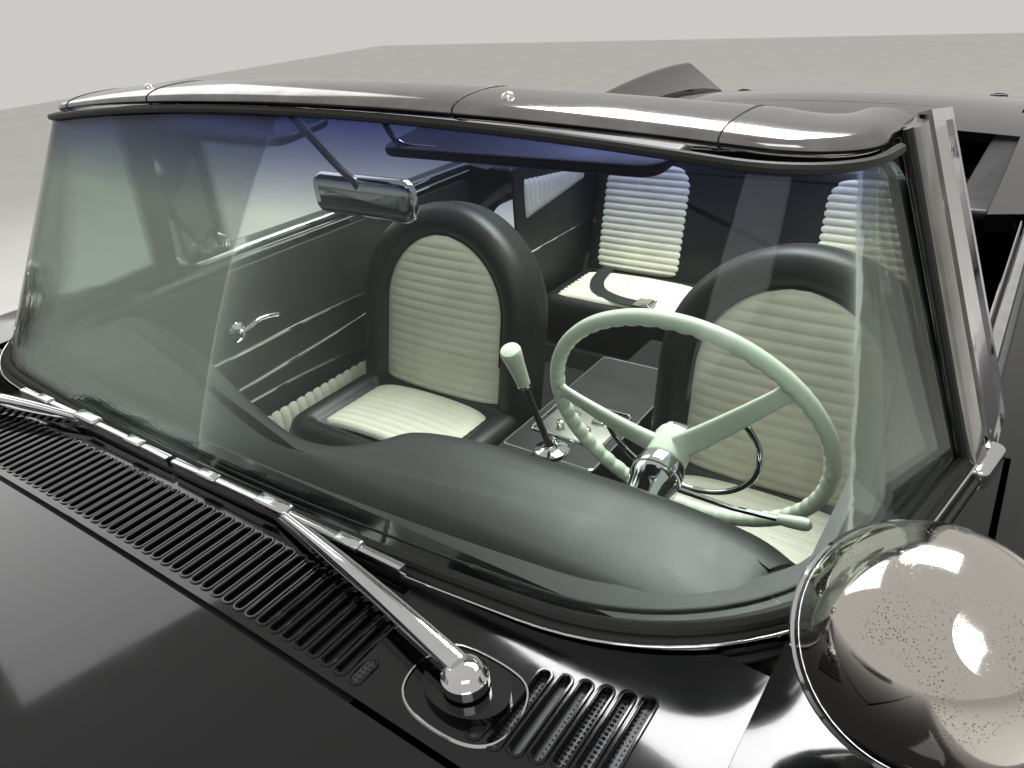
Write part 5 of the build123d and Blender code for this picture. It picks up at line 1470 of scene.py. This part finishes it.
@dataclass
class Console(Assembly):
    """Bright surround and pale panel of the console, and the dressed shift lever."""

    lean: float = 22.0
    foot: Point = (0.0, -200.0, 520.0)
    boot: Profile = ((40, -2), (40, 3), (36, 6), (26, 8), (16, 13), (11, 20), (9, 34))
    sleeve: float = 230.0
    sleeve_r: float = 6.8
    collar_drop: float = 13.0
    knob_drop: float = 5.0
    panel_y: float = -70.0
    panel_top: float = 517.5
    switch_x: tuple[float, ...] = (-34.0, 34.0)
    switch_yz: tuple[float, float] = (-104.0, 516.0)
    collar: Profile = ((9, 0), (13.5, 1), (14.2, 5), (13.5, 9), (9, 10))
    switch: Profile = ((8, 0), (8, 6), (10, 8), (10, 16), (7, 19), (1, 20))
    knob: Profile = ((10, -1), (13.6, 1), (15.0, 26), (17.4, 58), (20.2, 84), (20.8, 92), (18.6, 98),
                     (11, 101.4), (1, 102))

    def build(self) -> None:
        """Build the console's details."""
        way = np.array((0, -math.sin(math.radians(self.lean)), math.cos(math.radians(self.lean))))
        foot = np.array(self.foot)
        chrome = Shape().lathe(self.boot, foot, UP, 40)
        chrome.tube((foot, foot + way * self.sleeve), self.sleeve_r, 16)
        chrome.lathe(self.collar, foot + way * (self.sleeve - self.collar_drop), way, 28)
        frame = level(round_outline(182.0, 152.0, 12.0, 4) + (0, self.panel_y), 521.0)
        chrome.tube(frame, 4.0, 8, closed=True, up=UP)
        edge = level(round_outline(226.0, 1000.0, 12.0, 4) * (1, 0.47) + (0, 12.0), 518.0)
        chrome.tube(edge, 2.8, 7, closed=True, up=UP)
        for x in self.switch_x:
            chrome.lathe(self.switch, (x, *self.switch_yz), UP, 24)
            chrome.block((x - 15, -58, 516), (x + 15, -34, 524), 2.5)
        self.shop.piece("console_brightwork", chrome, Finish.CHROME)
        panel = Shape().slab(round_outline(176.0, 146.0, 10.0), plan_at(0, self.panel_y), 510.0,
                             self.panel_top, 1.5)
        self.shop.piece("console_panel", panel, Finish.BRUSHED)
        knob = Shape().lathe(self.knob, foot + way * (self.sleeve - self.knob_drop), way, 36)
        self.shop.piece("shift_knob", knob, Finish.IVORY_PLASTIC)


@dataclass
class DoorTrim(Assembly):
    """Inner panel of both doors: board, mouldings, lower pleats, pull and belt strip."""

    face_x: float = 739.0
    # The mouldings, each with its points in y and z, distance into the cabin and radius.
    mouldings: tuple[tuple[Profile, float, float], ...] = (
        (((-560, 688), (-404, 688), (-200, 690), (0, 684), (60, 668), (66, 645), (20, 630), (-100, 618),
          (-400, 602), (-560, 598)), 7.5, 4.2),
        (((-560, 556), (-290, 556), (-100, 545), (20, 520), (60, 470), (20, 420), (-60, 398)), 7.5, 4.2),
        (((-620, 905), (-300, 905), (100, 902), (520, 905)), 6.0, 3.4),
    )
    handle: Profile = ((-405, 744), (-385, 748), (-350, 756), (-312, 752), (-296, 748))
    handle_foot: Profile = ((24, 0), (24, 3), (19, 7), (12, 12), (10, 20), (6, 24), (1, 25))

    def line(self, points: Profile, out: float) -> Array:
        """A smooth line on the left door's inner face, through points in y and z."""
        return inner_wall(self.face_x).at(smooth_line([(-y, z) for y, z in points], 8), out)

    def build(self) -> None:
        """Build the left door's trim and its twin."""
        door = "door_{side}"
        wall = inner_wall(self.face_x)
        board = Shape().slab(round_outline(1150.0, 600.0, 26.0) + (65.0, 585.0), wall, -1.0, 6.0, 3.0)
        self.shop.pair("door_board", board, Finish.BLACK_VINYL, door, fill=0.9)
        low_on_wall = Flat((self.face_x - 6.0, -95.0, 405.0), UP, BACK)
        pleats = Pleats(low_on_wall, rounded_half(208.0, 900.0, 20.0), -448.0, 448.0, pitch=28.0, puff=3.4,
                        crown=2.0, roll=5.0, step=3.5, columns=12)
        self.shop.pair("door_pleats", pleats.shape(), Finish.IVORY_VINYL, door, QUILT_EDGE, fill=0.6)
        bright = Shape()
        for points, out, radius in self.mouldings:
            bright.tube(self.line(points, out), radius, 8)
        bright.lathe(self.handle_foot, wall.spot(405.0, 742.0, 6.0), INBOARD, 30)
        pull = self.line(self.handle, 20.0)
        bright.sweep(pull, round_outline(9.0, 15.0, 4.0, 4), INBOARD, scale=np.linspace(0.9, 1.25, len(pull)))
        self.shop.pair("door_brightwork", bright, Finish.CHROME, door)
        belt = Shape().block((742.0, -455.0, 914.0), (757.0, 545.0, 926.0), 3.0)
        self.shop.pair("door_belt_strip", belt, Finish.CHROME, door)
        slot = Shape().block((758.0, -440.0, 912.0), (768.0, 540.0, 922.0), 2.0)
        self.shop.pair("door_glass_slot", slot, Finish.RUBBER, door)


@dataclass
class VentWindow(Assembly):
    """Pane, seal and catch of the vent windows that ride on the doors."""

    foot: Point = (765.0, 0.0, 930.0)
    slant: tuple[float, float] = (132.0, 415.0)
    pane: Profile = ((-462.0, 6.0), (-362.0, -6.0), (-434.0, 362.0), (-523.0, 374.0))
    lever: Profile = ((-380.0, 40.0), (-392.0, 28.0), (-412.0, 20.0), (-428.0, 18.0))
    bar: Profile = ((-352.0, -12.0), (-426.0, 366.0))
    catch_foot: Profile = ((11, 0), (11, 4), (8, 9), (1, 10))

    def build(self) -> None:
        """Build the left one's pieces and their twins."""
        door = "door_{side}"
        lean = math.atan2(*self.slant)
        flat = Flat(self.foot, BACK, (-math.sin(lean), 0, math.cos(lean)))
        pane = np.array(self.pane)
        self.shop.pair("vent_pane", Shape().slab(pane, flat, -2.0, 2.0, 0.5, 1), Finish.GLASS, door)
        self.shop.pair("vent_seal", Shape().tube(flat.at(inset(pane, 2.0)), 3.6, 6, closed=True),
                       Finish.RUBBER, door)
        catch = Shape().lathe(self.catch_foot, flat.spot(*self.lever[0], -4.0), (-1, 0, -0.3), 24)
        catch.sweep(flat.at(np.array(self.lever), -13.0), round_outline(6.0, 10.0, 2.8, 3), INBOARD)
        catch.sweep(flat.at(np.array(self.bar), 3.0), round_outline(11.0, 12.0, 4.0, 4), (1, 0, 0.3))
        self.shop.pair("vent_brightwork", catch, Finish.CHROME, door)


@dataclass
class QuarterTrim(Assembly):
    """Side panels beside the rear seat, which close the wheel wells, and the shelf above them."""

    face_x: float = 606.0
    pleats_half: float = 190.0
    shelf_line: tuple[Point, ...] = ((600.0, 566.0, 900.0), (599.0, 900.0, 902.0), (599.0, 1280.0, 902.0))
    board_line: Profile = ((-570.0, 622.0), (-1040.0, 622.0))

    def pleats_width(self, v: float) -> float:
        """Half width of the pleats, which narrow towards the rear."""
        return 70.0 - 0.13 * (v + self.pleats_half)

    def build(self) -> None:
        """Build the left panel with its pleats and shelf, and their twins."""
        wall = inner_wall(self.face_x)
        board = Shape().slab(round_outline(720.0, 640.0, 30.0) + (-925.0, 590.0), wall, 0.0, 9.0, 3.0)
        self.shop.pair("quarter_board", board, Finish.BLACK_VINYL, fill=0.9)
        on_board = Flat((self.face_x - 9.0, 810.0, 800.0), UP, BACK)
        pleats = Pleats(on_board, self.pleats_width, -self.pleats_half, self.pleats_half, pitch=27.0,
                        crown=2.5, roll=5.0, step=3.0, columns=12)
        self.shop.pair("quarter_pleats", pleats.shape(), Finish.IVORY_VINYL, edge=QUILT_EDGE, fill=0.6)
        shelf = Shape().block((596.0, 556.0, 886.0), (672.0, 1288.0, 912.0), 10.0)
        self.shop.pair("quarter_shelf", shelf, Finish.BLACK_VINYL, fill=0.9)
        strip = Shape().tube(self.shelf_line, 4.0, 8)
        strip.tube(wall.at(np.array(self.board_line), 10.0), 3.6, 8)
        self.shop.pair("quarter_brightwork", strip, Finish.CHROME)


@dataclass
class MirrorAndVisors(Assembly):
    """The inner mirror on its stem and the two padded sun visors."""

    mirror: Point = (-80.0, -550.0, 1160.0)
    case: Profile = ((3, -10), (0, -7), (0, 0), (3, 6), (10, 10), (22, 12))
    stem: tuple[Point, ...] = ((-58.0, -695.0, 1331.0), (-60.0, -668.0, 1299.0), (-72.0, -600.0, 1222.0),
                               (-79.0, -566.0, 1190.0), (-80.0, -556.0, 1176.0))
    stem_wire: float = 6.0
    stem_foot: Profile = ((20, 0), (20, -3), (14, -7), (7, -9))
    stem_foot_place: Point = (-58.0, -697.0, 1338.0)
    visor: Point = (272.0, -622.0, 1268.0)
    rod: tuple[Point, ...] = ((110.0, -690.0, 1330.0), (110.0, -676.0, 1300.0), (111.0, -664.0, 1278.0),
                              (124.0, -660.0, 1268.0), (170.0, -658.0, 1266.0))
    rod_wire: float = 4.2
    rod_foot: Profile = ((13, 0), (13, -3), (8, -6))
    rod_foot_place: Point = (110.0, -690.0, 1332.0)

    def build(self) -> None:
        """Build the mirror, its stem, the visors and their rods."""
        flat = Flat(self.mirror, ACROSS, UP)
        outline = round_outline(205.0, 64.0, 22.0, 7)
        case = Shape().loft(outline, flat, self.case).tube(smooth_line(self.stem, 6), self.stem_wire, 12)
        case.lathe(self.stem_foot, self.stem_foot_place, UP, 28)
        self.shop.piece("mirror_case", case, Finish.PITTED, replaces=("mirror_and_visors",))
        self.shop.piece("mirror_glass", Shape().slab(inset(outline, 4.0), flat, -12.5, -9.0, 0.8, 2),
                        Finish.CHROME)
        board = Flat(self.visor, ACROSS, (0, 1, 0.12))
        visor = Shape().slab(round_outline(366.0, 104.0, 24.0, 6), board, -6.0, 6.0, 5.5, 4)
        self.shop.pair("visor", visor, Finish.BLACK_VINYL, edge=PAD_EDGE, fill=0.8)
        rods = Shape().tube(smooth_line(self.rod, 5), self.rod_wire, 10)
        rods.lathe(self.rod_foot, self.rod_foot_place, UP, 24)
        self.shop.pair("visor_rod", rods, Finish.CHROME)


@dataclass
class FloorCovering(Assembly):
    """Carpet on the floor and the tunnel, and pedals over it."""

    # Half width of the tunnel's carpet, its front and rear ends, and its upper edge.
    tunnel_sides: tuple[tuple[float, float, float], ...] = ((255.0, 605.0, 408.0), (-800.0, 255.0, 404.0))
    # Each pedal's x, width, height and the height of its middle.
    pedals: tuple[tuple[float, ...], ...] = ((330.0, 92.0, 52.0, 400.0), (470.0, 46.0, 150.0, 350.0))

    def build(self) -> None:
        """Build the carpets and the pedals."""
        carpet = Shape().block((142.0, -930.0, 235.5), (712.0, 622.0, 243.0), 3.0)
        self.shop.pair("floor_carpet", carpet, Finish.CARPET)
        tunnel = Shape().block((-144.0, 255.0, 404.5), (144.0, 605.0, 410.0), 2.5)
        for front, rear, top in self.tunnel_sides:
            for low_x, high_x in ((-146.0, -139.5), (139.5, 146.0)):
                tunnel.block((low_x, front, 240.0), (high_x, rear, top), 2.0)
        self.shop.piece("tunnel_carpet", tunnel, Finish.CARPET)
        pedals = Shape()
        for x, wide, tall, z in self.pedals:
            pedals.slab(round_outline(wide, tall, 10.0), Flat((x, -800.0, z), INBOARD, (0.0, 0.45, 0.9)),
                        0.0, 9.0, 3.0)
        for x, _, _, z in self.pedals:
            pedals.tube(((x, -806.0, z), (x, -880.0, z + 60.0), (x, -905.0, z + 190.0)), 7.0, 8)
        self.shop.piece("pedals", pedals, Finish.RUBBER)


@dataclass
class Tyres(Assembly):
    """Ribbed treads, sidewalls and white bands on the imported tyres' outlines."""

    tyre_r: float = 355.0
    width: float = 205.0
    rim_r: float = 178.0
    bead: float = 82.5
    groove: float = 6.0
    ribs: Profile = ((-76.0, -52.0), (-46.0, -20.0), (-14.0, 14.0), (20.0, 46.0), (52.0, 76.0))
    lugs: int = 60
    lug_r: float = 338.0
    lug_off: float = 84.0
    band: Profile = ((206.0, 99.2), (209.0, 101.0), (236.0, 103.6), (262.0, 104.2), (270.0, 104.0),
                     (272.0, 100.0), (240.0, 97.0))
    # Each axle's name, x of its left wheel, and y.
    axles: tuple[tuple[str, float, float], ...] = (("front", 762.0, -1694.5), ("rear", 724.0, 1175.5))

    def profile(self) -> list[tuple[float, float]]:
        """Draw the tyre's section, with four grooves in the tread.

        Returns:
            Radius and distance outboard of each point.
        """
        half = self.width / 2
        side = [(self.rim_r, -self.bead), (190.0, -self.bead - 8), (214.0, -half + 5), (240.0, -half + 1),
                (262.0, -half), (290.0, -half + 3), (318.0, -half + 10), (334.0, -half + 16),
                (343.0, -half + 21)]
        tread = []
        for low, high in self.ribs:
            r = [self.tyre_r - 10.0 * (z / 76.5) ** 2 for z in (low, high)]
            tread += [(r[0] - self.groove, low - 1.5), (r[0], low), (r[1], high),
                      (r[1] - self.groove, high + 1.5)]
        return side + tread[1:-1] + [(r, -z) for r, z in reversed(side)]

    def build(self) -> None:
        """Build the four tyres."""
        for axle, x, y in self.axles:
            for side, sign in SIDES:
                wheel = f"wheel_{axle}_{side}"
                centre, out = np.array((sign * x, y, self.tyre_r)), (sign, 0, 0)
                tyre = Shape().lathe(self.profile(), centre, out, 120, ring=True)
                for k in range(self.lugs):
                    a = TAU * k / self.lugs
                    ring = np.array((0.0, math.cos(a), math.sin(a)))
                    for off in (-self.lug_off, self.lug_off):
                        at = centre + ring * self.lug_r + np.array((sign * off, 0, 0))
                        tyre.tube((at, at + ring * 7.0), 2.6, 5)
                self.shop.piece(f"tread_{axle}_{side}", tyre, Finish.RUBBER, wheel,
                                edge=30, replaces=(f"tyre_{axle}_{side}",))
                band = Shape().lathe(self.band, centre, out, 96, ring=True)
                self.shop.piece(f"white_band_{axle}_{side}", band, Finish.WHITEWALL, wheel)


@dataclass
class Lamps(Assembly):
    """Rims and lenses of the four headlamps and the four tail lamps."""

    head_x: tuple[float, ...] = (668.0, 820.0)
    head: tuple[float, float] = (-2546.0, 772.0)
    head_rim: Profile = ((70, -4), (73, -2), (74, 3), (72, 6), (68, 5), (66, 0))
    head_glass: Profile = ((67, -2), (66, 2), (50, 8), (28, 11), (1, 12))
    flute: float = 9.0
    fluted_r: float = 62.0
    tail_x: tuple[float, ...] = (372.0, 548.0)
    tail: tuple[float, float] = (2488.0, 700.0)
    tail_rim: Profile = ((76, -4), (81, -3), (83, 2), (81, 7), (75, 8), (72, 2))
    tail_glass: Profile = ((74, -2), (73, 3), (60, 10), (40, 16), (24, 19))
    tail_rings: tuple[float, ...] = (34.0, 46.0, 58.0)
    tail_boss: Profile = ((25, 12), (25, 20), (21, 24), (10, 26), (1, 26.5))

    def headlamp(self, rims: Shape, glass: Shape, x: float) -> None:
        """Add one headlamp's rim and its fluted lens.

        Args:
            rims: The shape that takes the rim.
            glass: The shape that takes the lens.
            x: The lamp's centre.
        """
        y, z = self.head
        rims.lathe(self.head_rim, (x, y, z), AHEAD, 56, ring=True)
        glass.lathe(self.head_glass, (x, y, z), AHEAD, 48)
        for k in range(-6, 7):
            off = k * self.flute
            wide = math.sqrt(max(self.fluted_r ** 2 - off ** 2, 1.0))
            rise = np.linspace(-wide, wide, 9)
            bulge = y - 8.5 + (rise ** 2 + off ** 2) / self.fluted_r ** 2 * 6.0
            glass.tube(np.column_stack((np.full(9, x + off), bulge, z + rise)), 1.3, 5)

    def tail_lamp(self, rims: Shape, red: Shape, x: float) -> None:
        """Add one tail lamp's rim, its ringed dome and its bright boss.

        Args:
            rims: The shape that takes the rim and the boss.
            red: The shape that takes the dome.
            x: The lamp's centre.
        """
        y, z = self.tail
        rims.lathe(self.tail_rim, (x, y, z), BACK, 56, ring=True)
        red.lathe(self.tail_glass, (x, y, z), BACK, 48)
        for r in self.tail_rings:
            ring = circle(r, 48)
            back = np.full(48, y + 18.5 - (r - 30.0) * 0.28)
            red.tube(np.column_stack((x + ring[:, 0], back, z + ring[:, 1])), 1.6, 5, closed=True, up=BACK)
        rims.lathe(self.tail_boss, (x, y, z), BACK, 32)

    def build(self) -> None:
        """Build the rims, the fluted lenses and the tail lamps' domes."""
        rims, glass, red = Shape(), Shape(), Shape()
        for sign in (-1, 1):
            for x in self.head_x:
                self.headlamp(rims, glass, sign * x)
            for x in self.tail_x:
                self.tail_lamp(rims, red, sign * x)
        self.shop.piece("lamp_rims", rims, Finish.CHROME)
        self.shop.piece("headlamp_lenses", glass, Finish.CLEAR)
        self.shop.piece("tail_lenses", red, Finish.RED)


@dataclass
class DoorPulls(Assembly):
    """Outer door pulls with a push button at each end."""

    foot: Point = (974.0, 330.0, 742.0)
    bow: tuple[Point, ...] = ((0, 0, 0), (14, 10, 0), (20, 40, 0), (20, 110, 0), (13, 140, 0), (0, 150, 0))
    button: Profile = ((20, -6), (20, 4), (15, 8), (6, 10), (1, 10.5))
    button_y: tuple[float, ...] = (330.0, 480.0)

    def build(self) -> None:
        """Build the left door's pull and its twin."""
        path = smooth_line(np.array(self.foot) + self.bow, 6)
        pull = Shape().sweep(path, round_outline(9.0, 18.0, 4.0, 4), UP)
        for y in self.button_y:
            pull.lathe(self.button, (972.0, y, 742.0), (1, 0, 0.02), 28)
        self.shop.pair("door_pull", pull, Finish.CHROME, "door_{side}")


SLOT_FINISH = {
    "body_paint": Finish.LACQUER, "chrome": Finish.CHROME, "stainless": Finish.STAINLESS,
    "glass": Finish.GLASS, "lamp_glass": Finish.CLEAR, "red_lens": Finish.RED,
    "black_vinyl": Finish.BLACK_VINYL,
    "ivory_vinyl": Finish.IVORY_VINYL, "ivory_plastic": Finish.IVORY_PLASTIC, "underseal": Finish.UNDERSEAL,
    "cast_metal": Finish.CAST, "tyre_rubber": Finish.RUBBER, "exhaust_steel": Finish.STEEL,
}
NODE_FINISH = {"spotlamps": Finish.PITTED, "wipers": Finish.CHROME}


def dress_nodes(shop: Workshop) -> None:
    """Give every carried-over CAD node its finish, by the record's slots.

    Args:
        shop: The workshop that holds the frame.
    """
    for part in shop.frame["record"]["subparts"]:
        mesh = shop.frame["nodes"][part["node"]].data
        finish = NODE_FINISH.get(part["node"], SLOT_FINISH[part["material_slot"]])
        mesh.materials.clear()
        mesh.materials.append(shop.material(finish))


SENSOR_MM = 36.0


@dataclass(frozen=True)
class CameraPose:
    """Where the photograph was taken from, and its focal length in pixels of the frame."""

    place: Point
    yaw: float
    pitch: float
    roll: float
    focal_px: float

    def build(self) -> None:
        """Put the camera there."""
        data = bpy.data.cameras.new("camera")
        data.sensor_width = SENSOR_MM
        data.lens = self.focal_px * data.sensor_width / FRAME_WIDTH_PX
        data.clip_start = 0.02
        camera = bpy.data.objects.new("camera", data)
        bpy.context.scene.collection.objects.link(camera)
        yaw, pitch, roll = (math.radians(a) for a in (self.yaw, self.pitch, self.roll))
        ahead = Vector((-math.sin(yaw) * math.cos(pitch), math.cos(yaw) * math.cos(pitch), -math.sin(pitch)))
        right = ahead.cross(Vector(UP)).normalized()
        up = right.cross(ahead)
        tilted_right = right * math.cos(roll) + up * math.sin(roll)
        tilted_up = up * math.cos(roll) - right * math.sin(roll)
        turn = Matrix((tilted_right, tilted_up, -ahead)).transposed()
        camera.matrix_world = Matrix.Translation(self.place) @ turn.to_4x4()
        bpy.context.scene.camera = camera


CAMERA = CameraPose((0.7611, -1.339, 1.4414), 36.83, 28.69, -4.68, 753.43)


@dataclass(frozen=True)
class Softbox:
    """One soft light: its place, the point it faces, its side lengths and its power in watts."""

    name: str
    place: Point
    aim: Point
    wide: float
    tall: float
    power: float

    def build(self) -> None:
        """Add the light."""
        data = bpy.data.lights.new(self.name, "AREA")
        data.shape = "RECTANGLE"
        data.size, data.size_y = self.wide, self.tall
        data.energy = self.power
        light = bpy.data.objects.new(self.name, data)
        bpy.context.scene.collection.objects.link(light)
        light.location = self.place
        light.rotation_euler = (Vector(self.aim) - Vector(self.place)).to_track_quat("-Z", "Y").to_euler()


FLOOR_HALF = 14.0
WORLD_STRENGTH = 0.78
LIGHTS = (
    Softbox("key", (2.8, -3.8, 4.8), (0, 0.2, 0.7), 3.0, 3.0, 80.0),
    Softbox("fill", (-4.5, 1.0, 3.6), (0, 0, 0.7), 3.0, 3.0, 55.0),
    Softbox("cabin", (0.0, 0.9, 2.9), (-0.1, 0.1, 0.5), 1.6, 1.1, 120.0),
)


def build_studio() -> None:
    """Pale floor, pale surroundings and soft lights."""
    mesh = bpy.data.meshes.new("floor")
    corners = [(x * FLOOR_HALF, y * FLOOR_HALF, 0) for x, y in ((-1, -1), (1, -1), (1, 1), (-1, 1))]
    mesh.from_pydata(corners, [], [(0, 1, 2, 3)])
    floor = bpy.data.objects.new("floor", mesh)
    bpy.context.scene.collection.objects.link(floor)
    r = Recipe("studio_floor")
    r.set(Roughness=0.7)
    r.feed("Base Color", r.ramp(r.noise(400.0), 0.3, 0.7, linear("#D9D7D3"), linear("#DEDCD8")))
    mesh.materials.append(r.material)
    world = bpy.data.worlds.new("studio")
    world.use_nodes = True
    bpy.context.scene.world = world
    background = world.node_tree.nodes["Background"]
    background.inputs["Color"].default_value = linear("#E4E2DE")
    background.inputs["Strength"].default_value = WORLD_STRENGTH
    for light in LIGHTS:
        light.build()


def main() -> None:
    """Build the whole scene."""
    logging.basicConfig(level=logging.INFO)
    shop = Workshop(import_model())
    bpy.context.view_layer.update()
    CAMERA.build()
    build_studio()
    dress_nodes(shop)
    before_seats = (Windshield, CowlVent, Wipers, Spotlamps)
    after_seats = (RearSeat, Dashboard, SteeringWheel, Console, DoorTrim, VentWindow, QuarterTrim,
                   MirrorAndVisors, FloorCovering, Tyres, Lamps, DoorPulls)
    parts: list[Assembly] = [kind(shop) for kind in before_seats]
    parts += [BucketSeat(shop, side, sign) for side, sign in SIDES]
    parts += [kind(shop) for kind in after_seats]
    for part in parts:
        part.build()
    bpy.context.scene.view_settings.view_transform = "Standard"


if __name__ == "__main__":
    main()
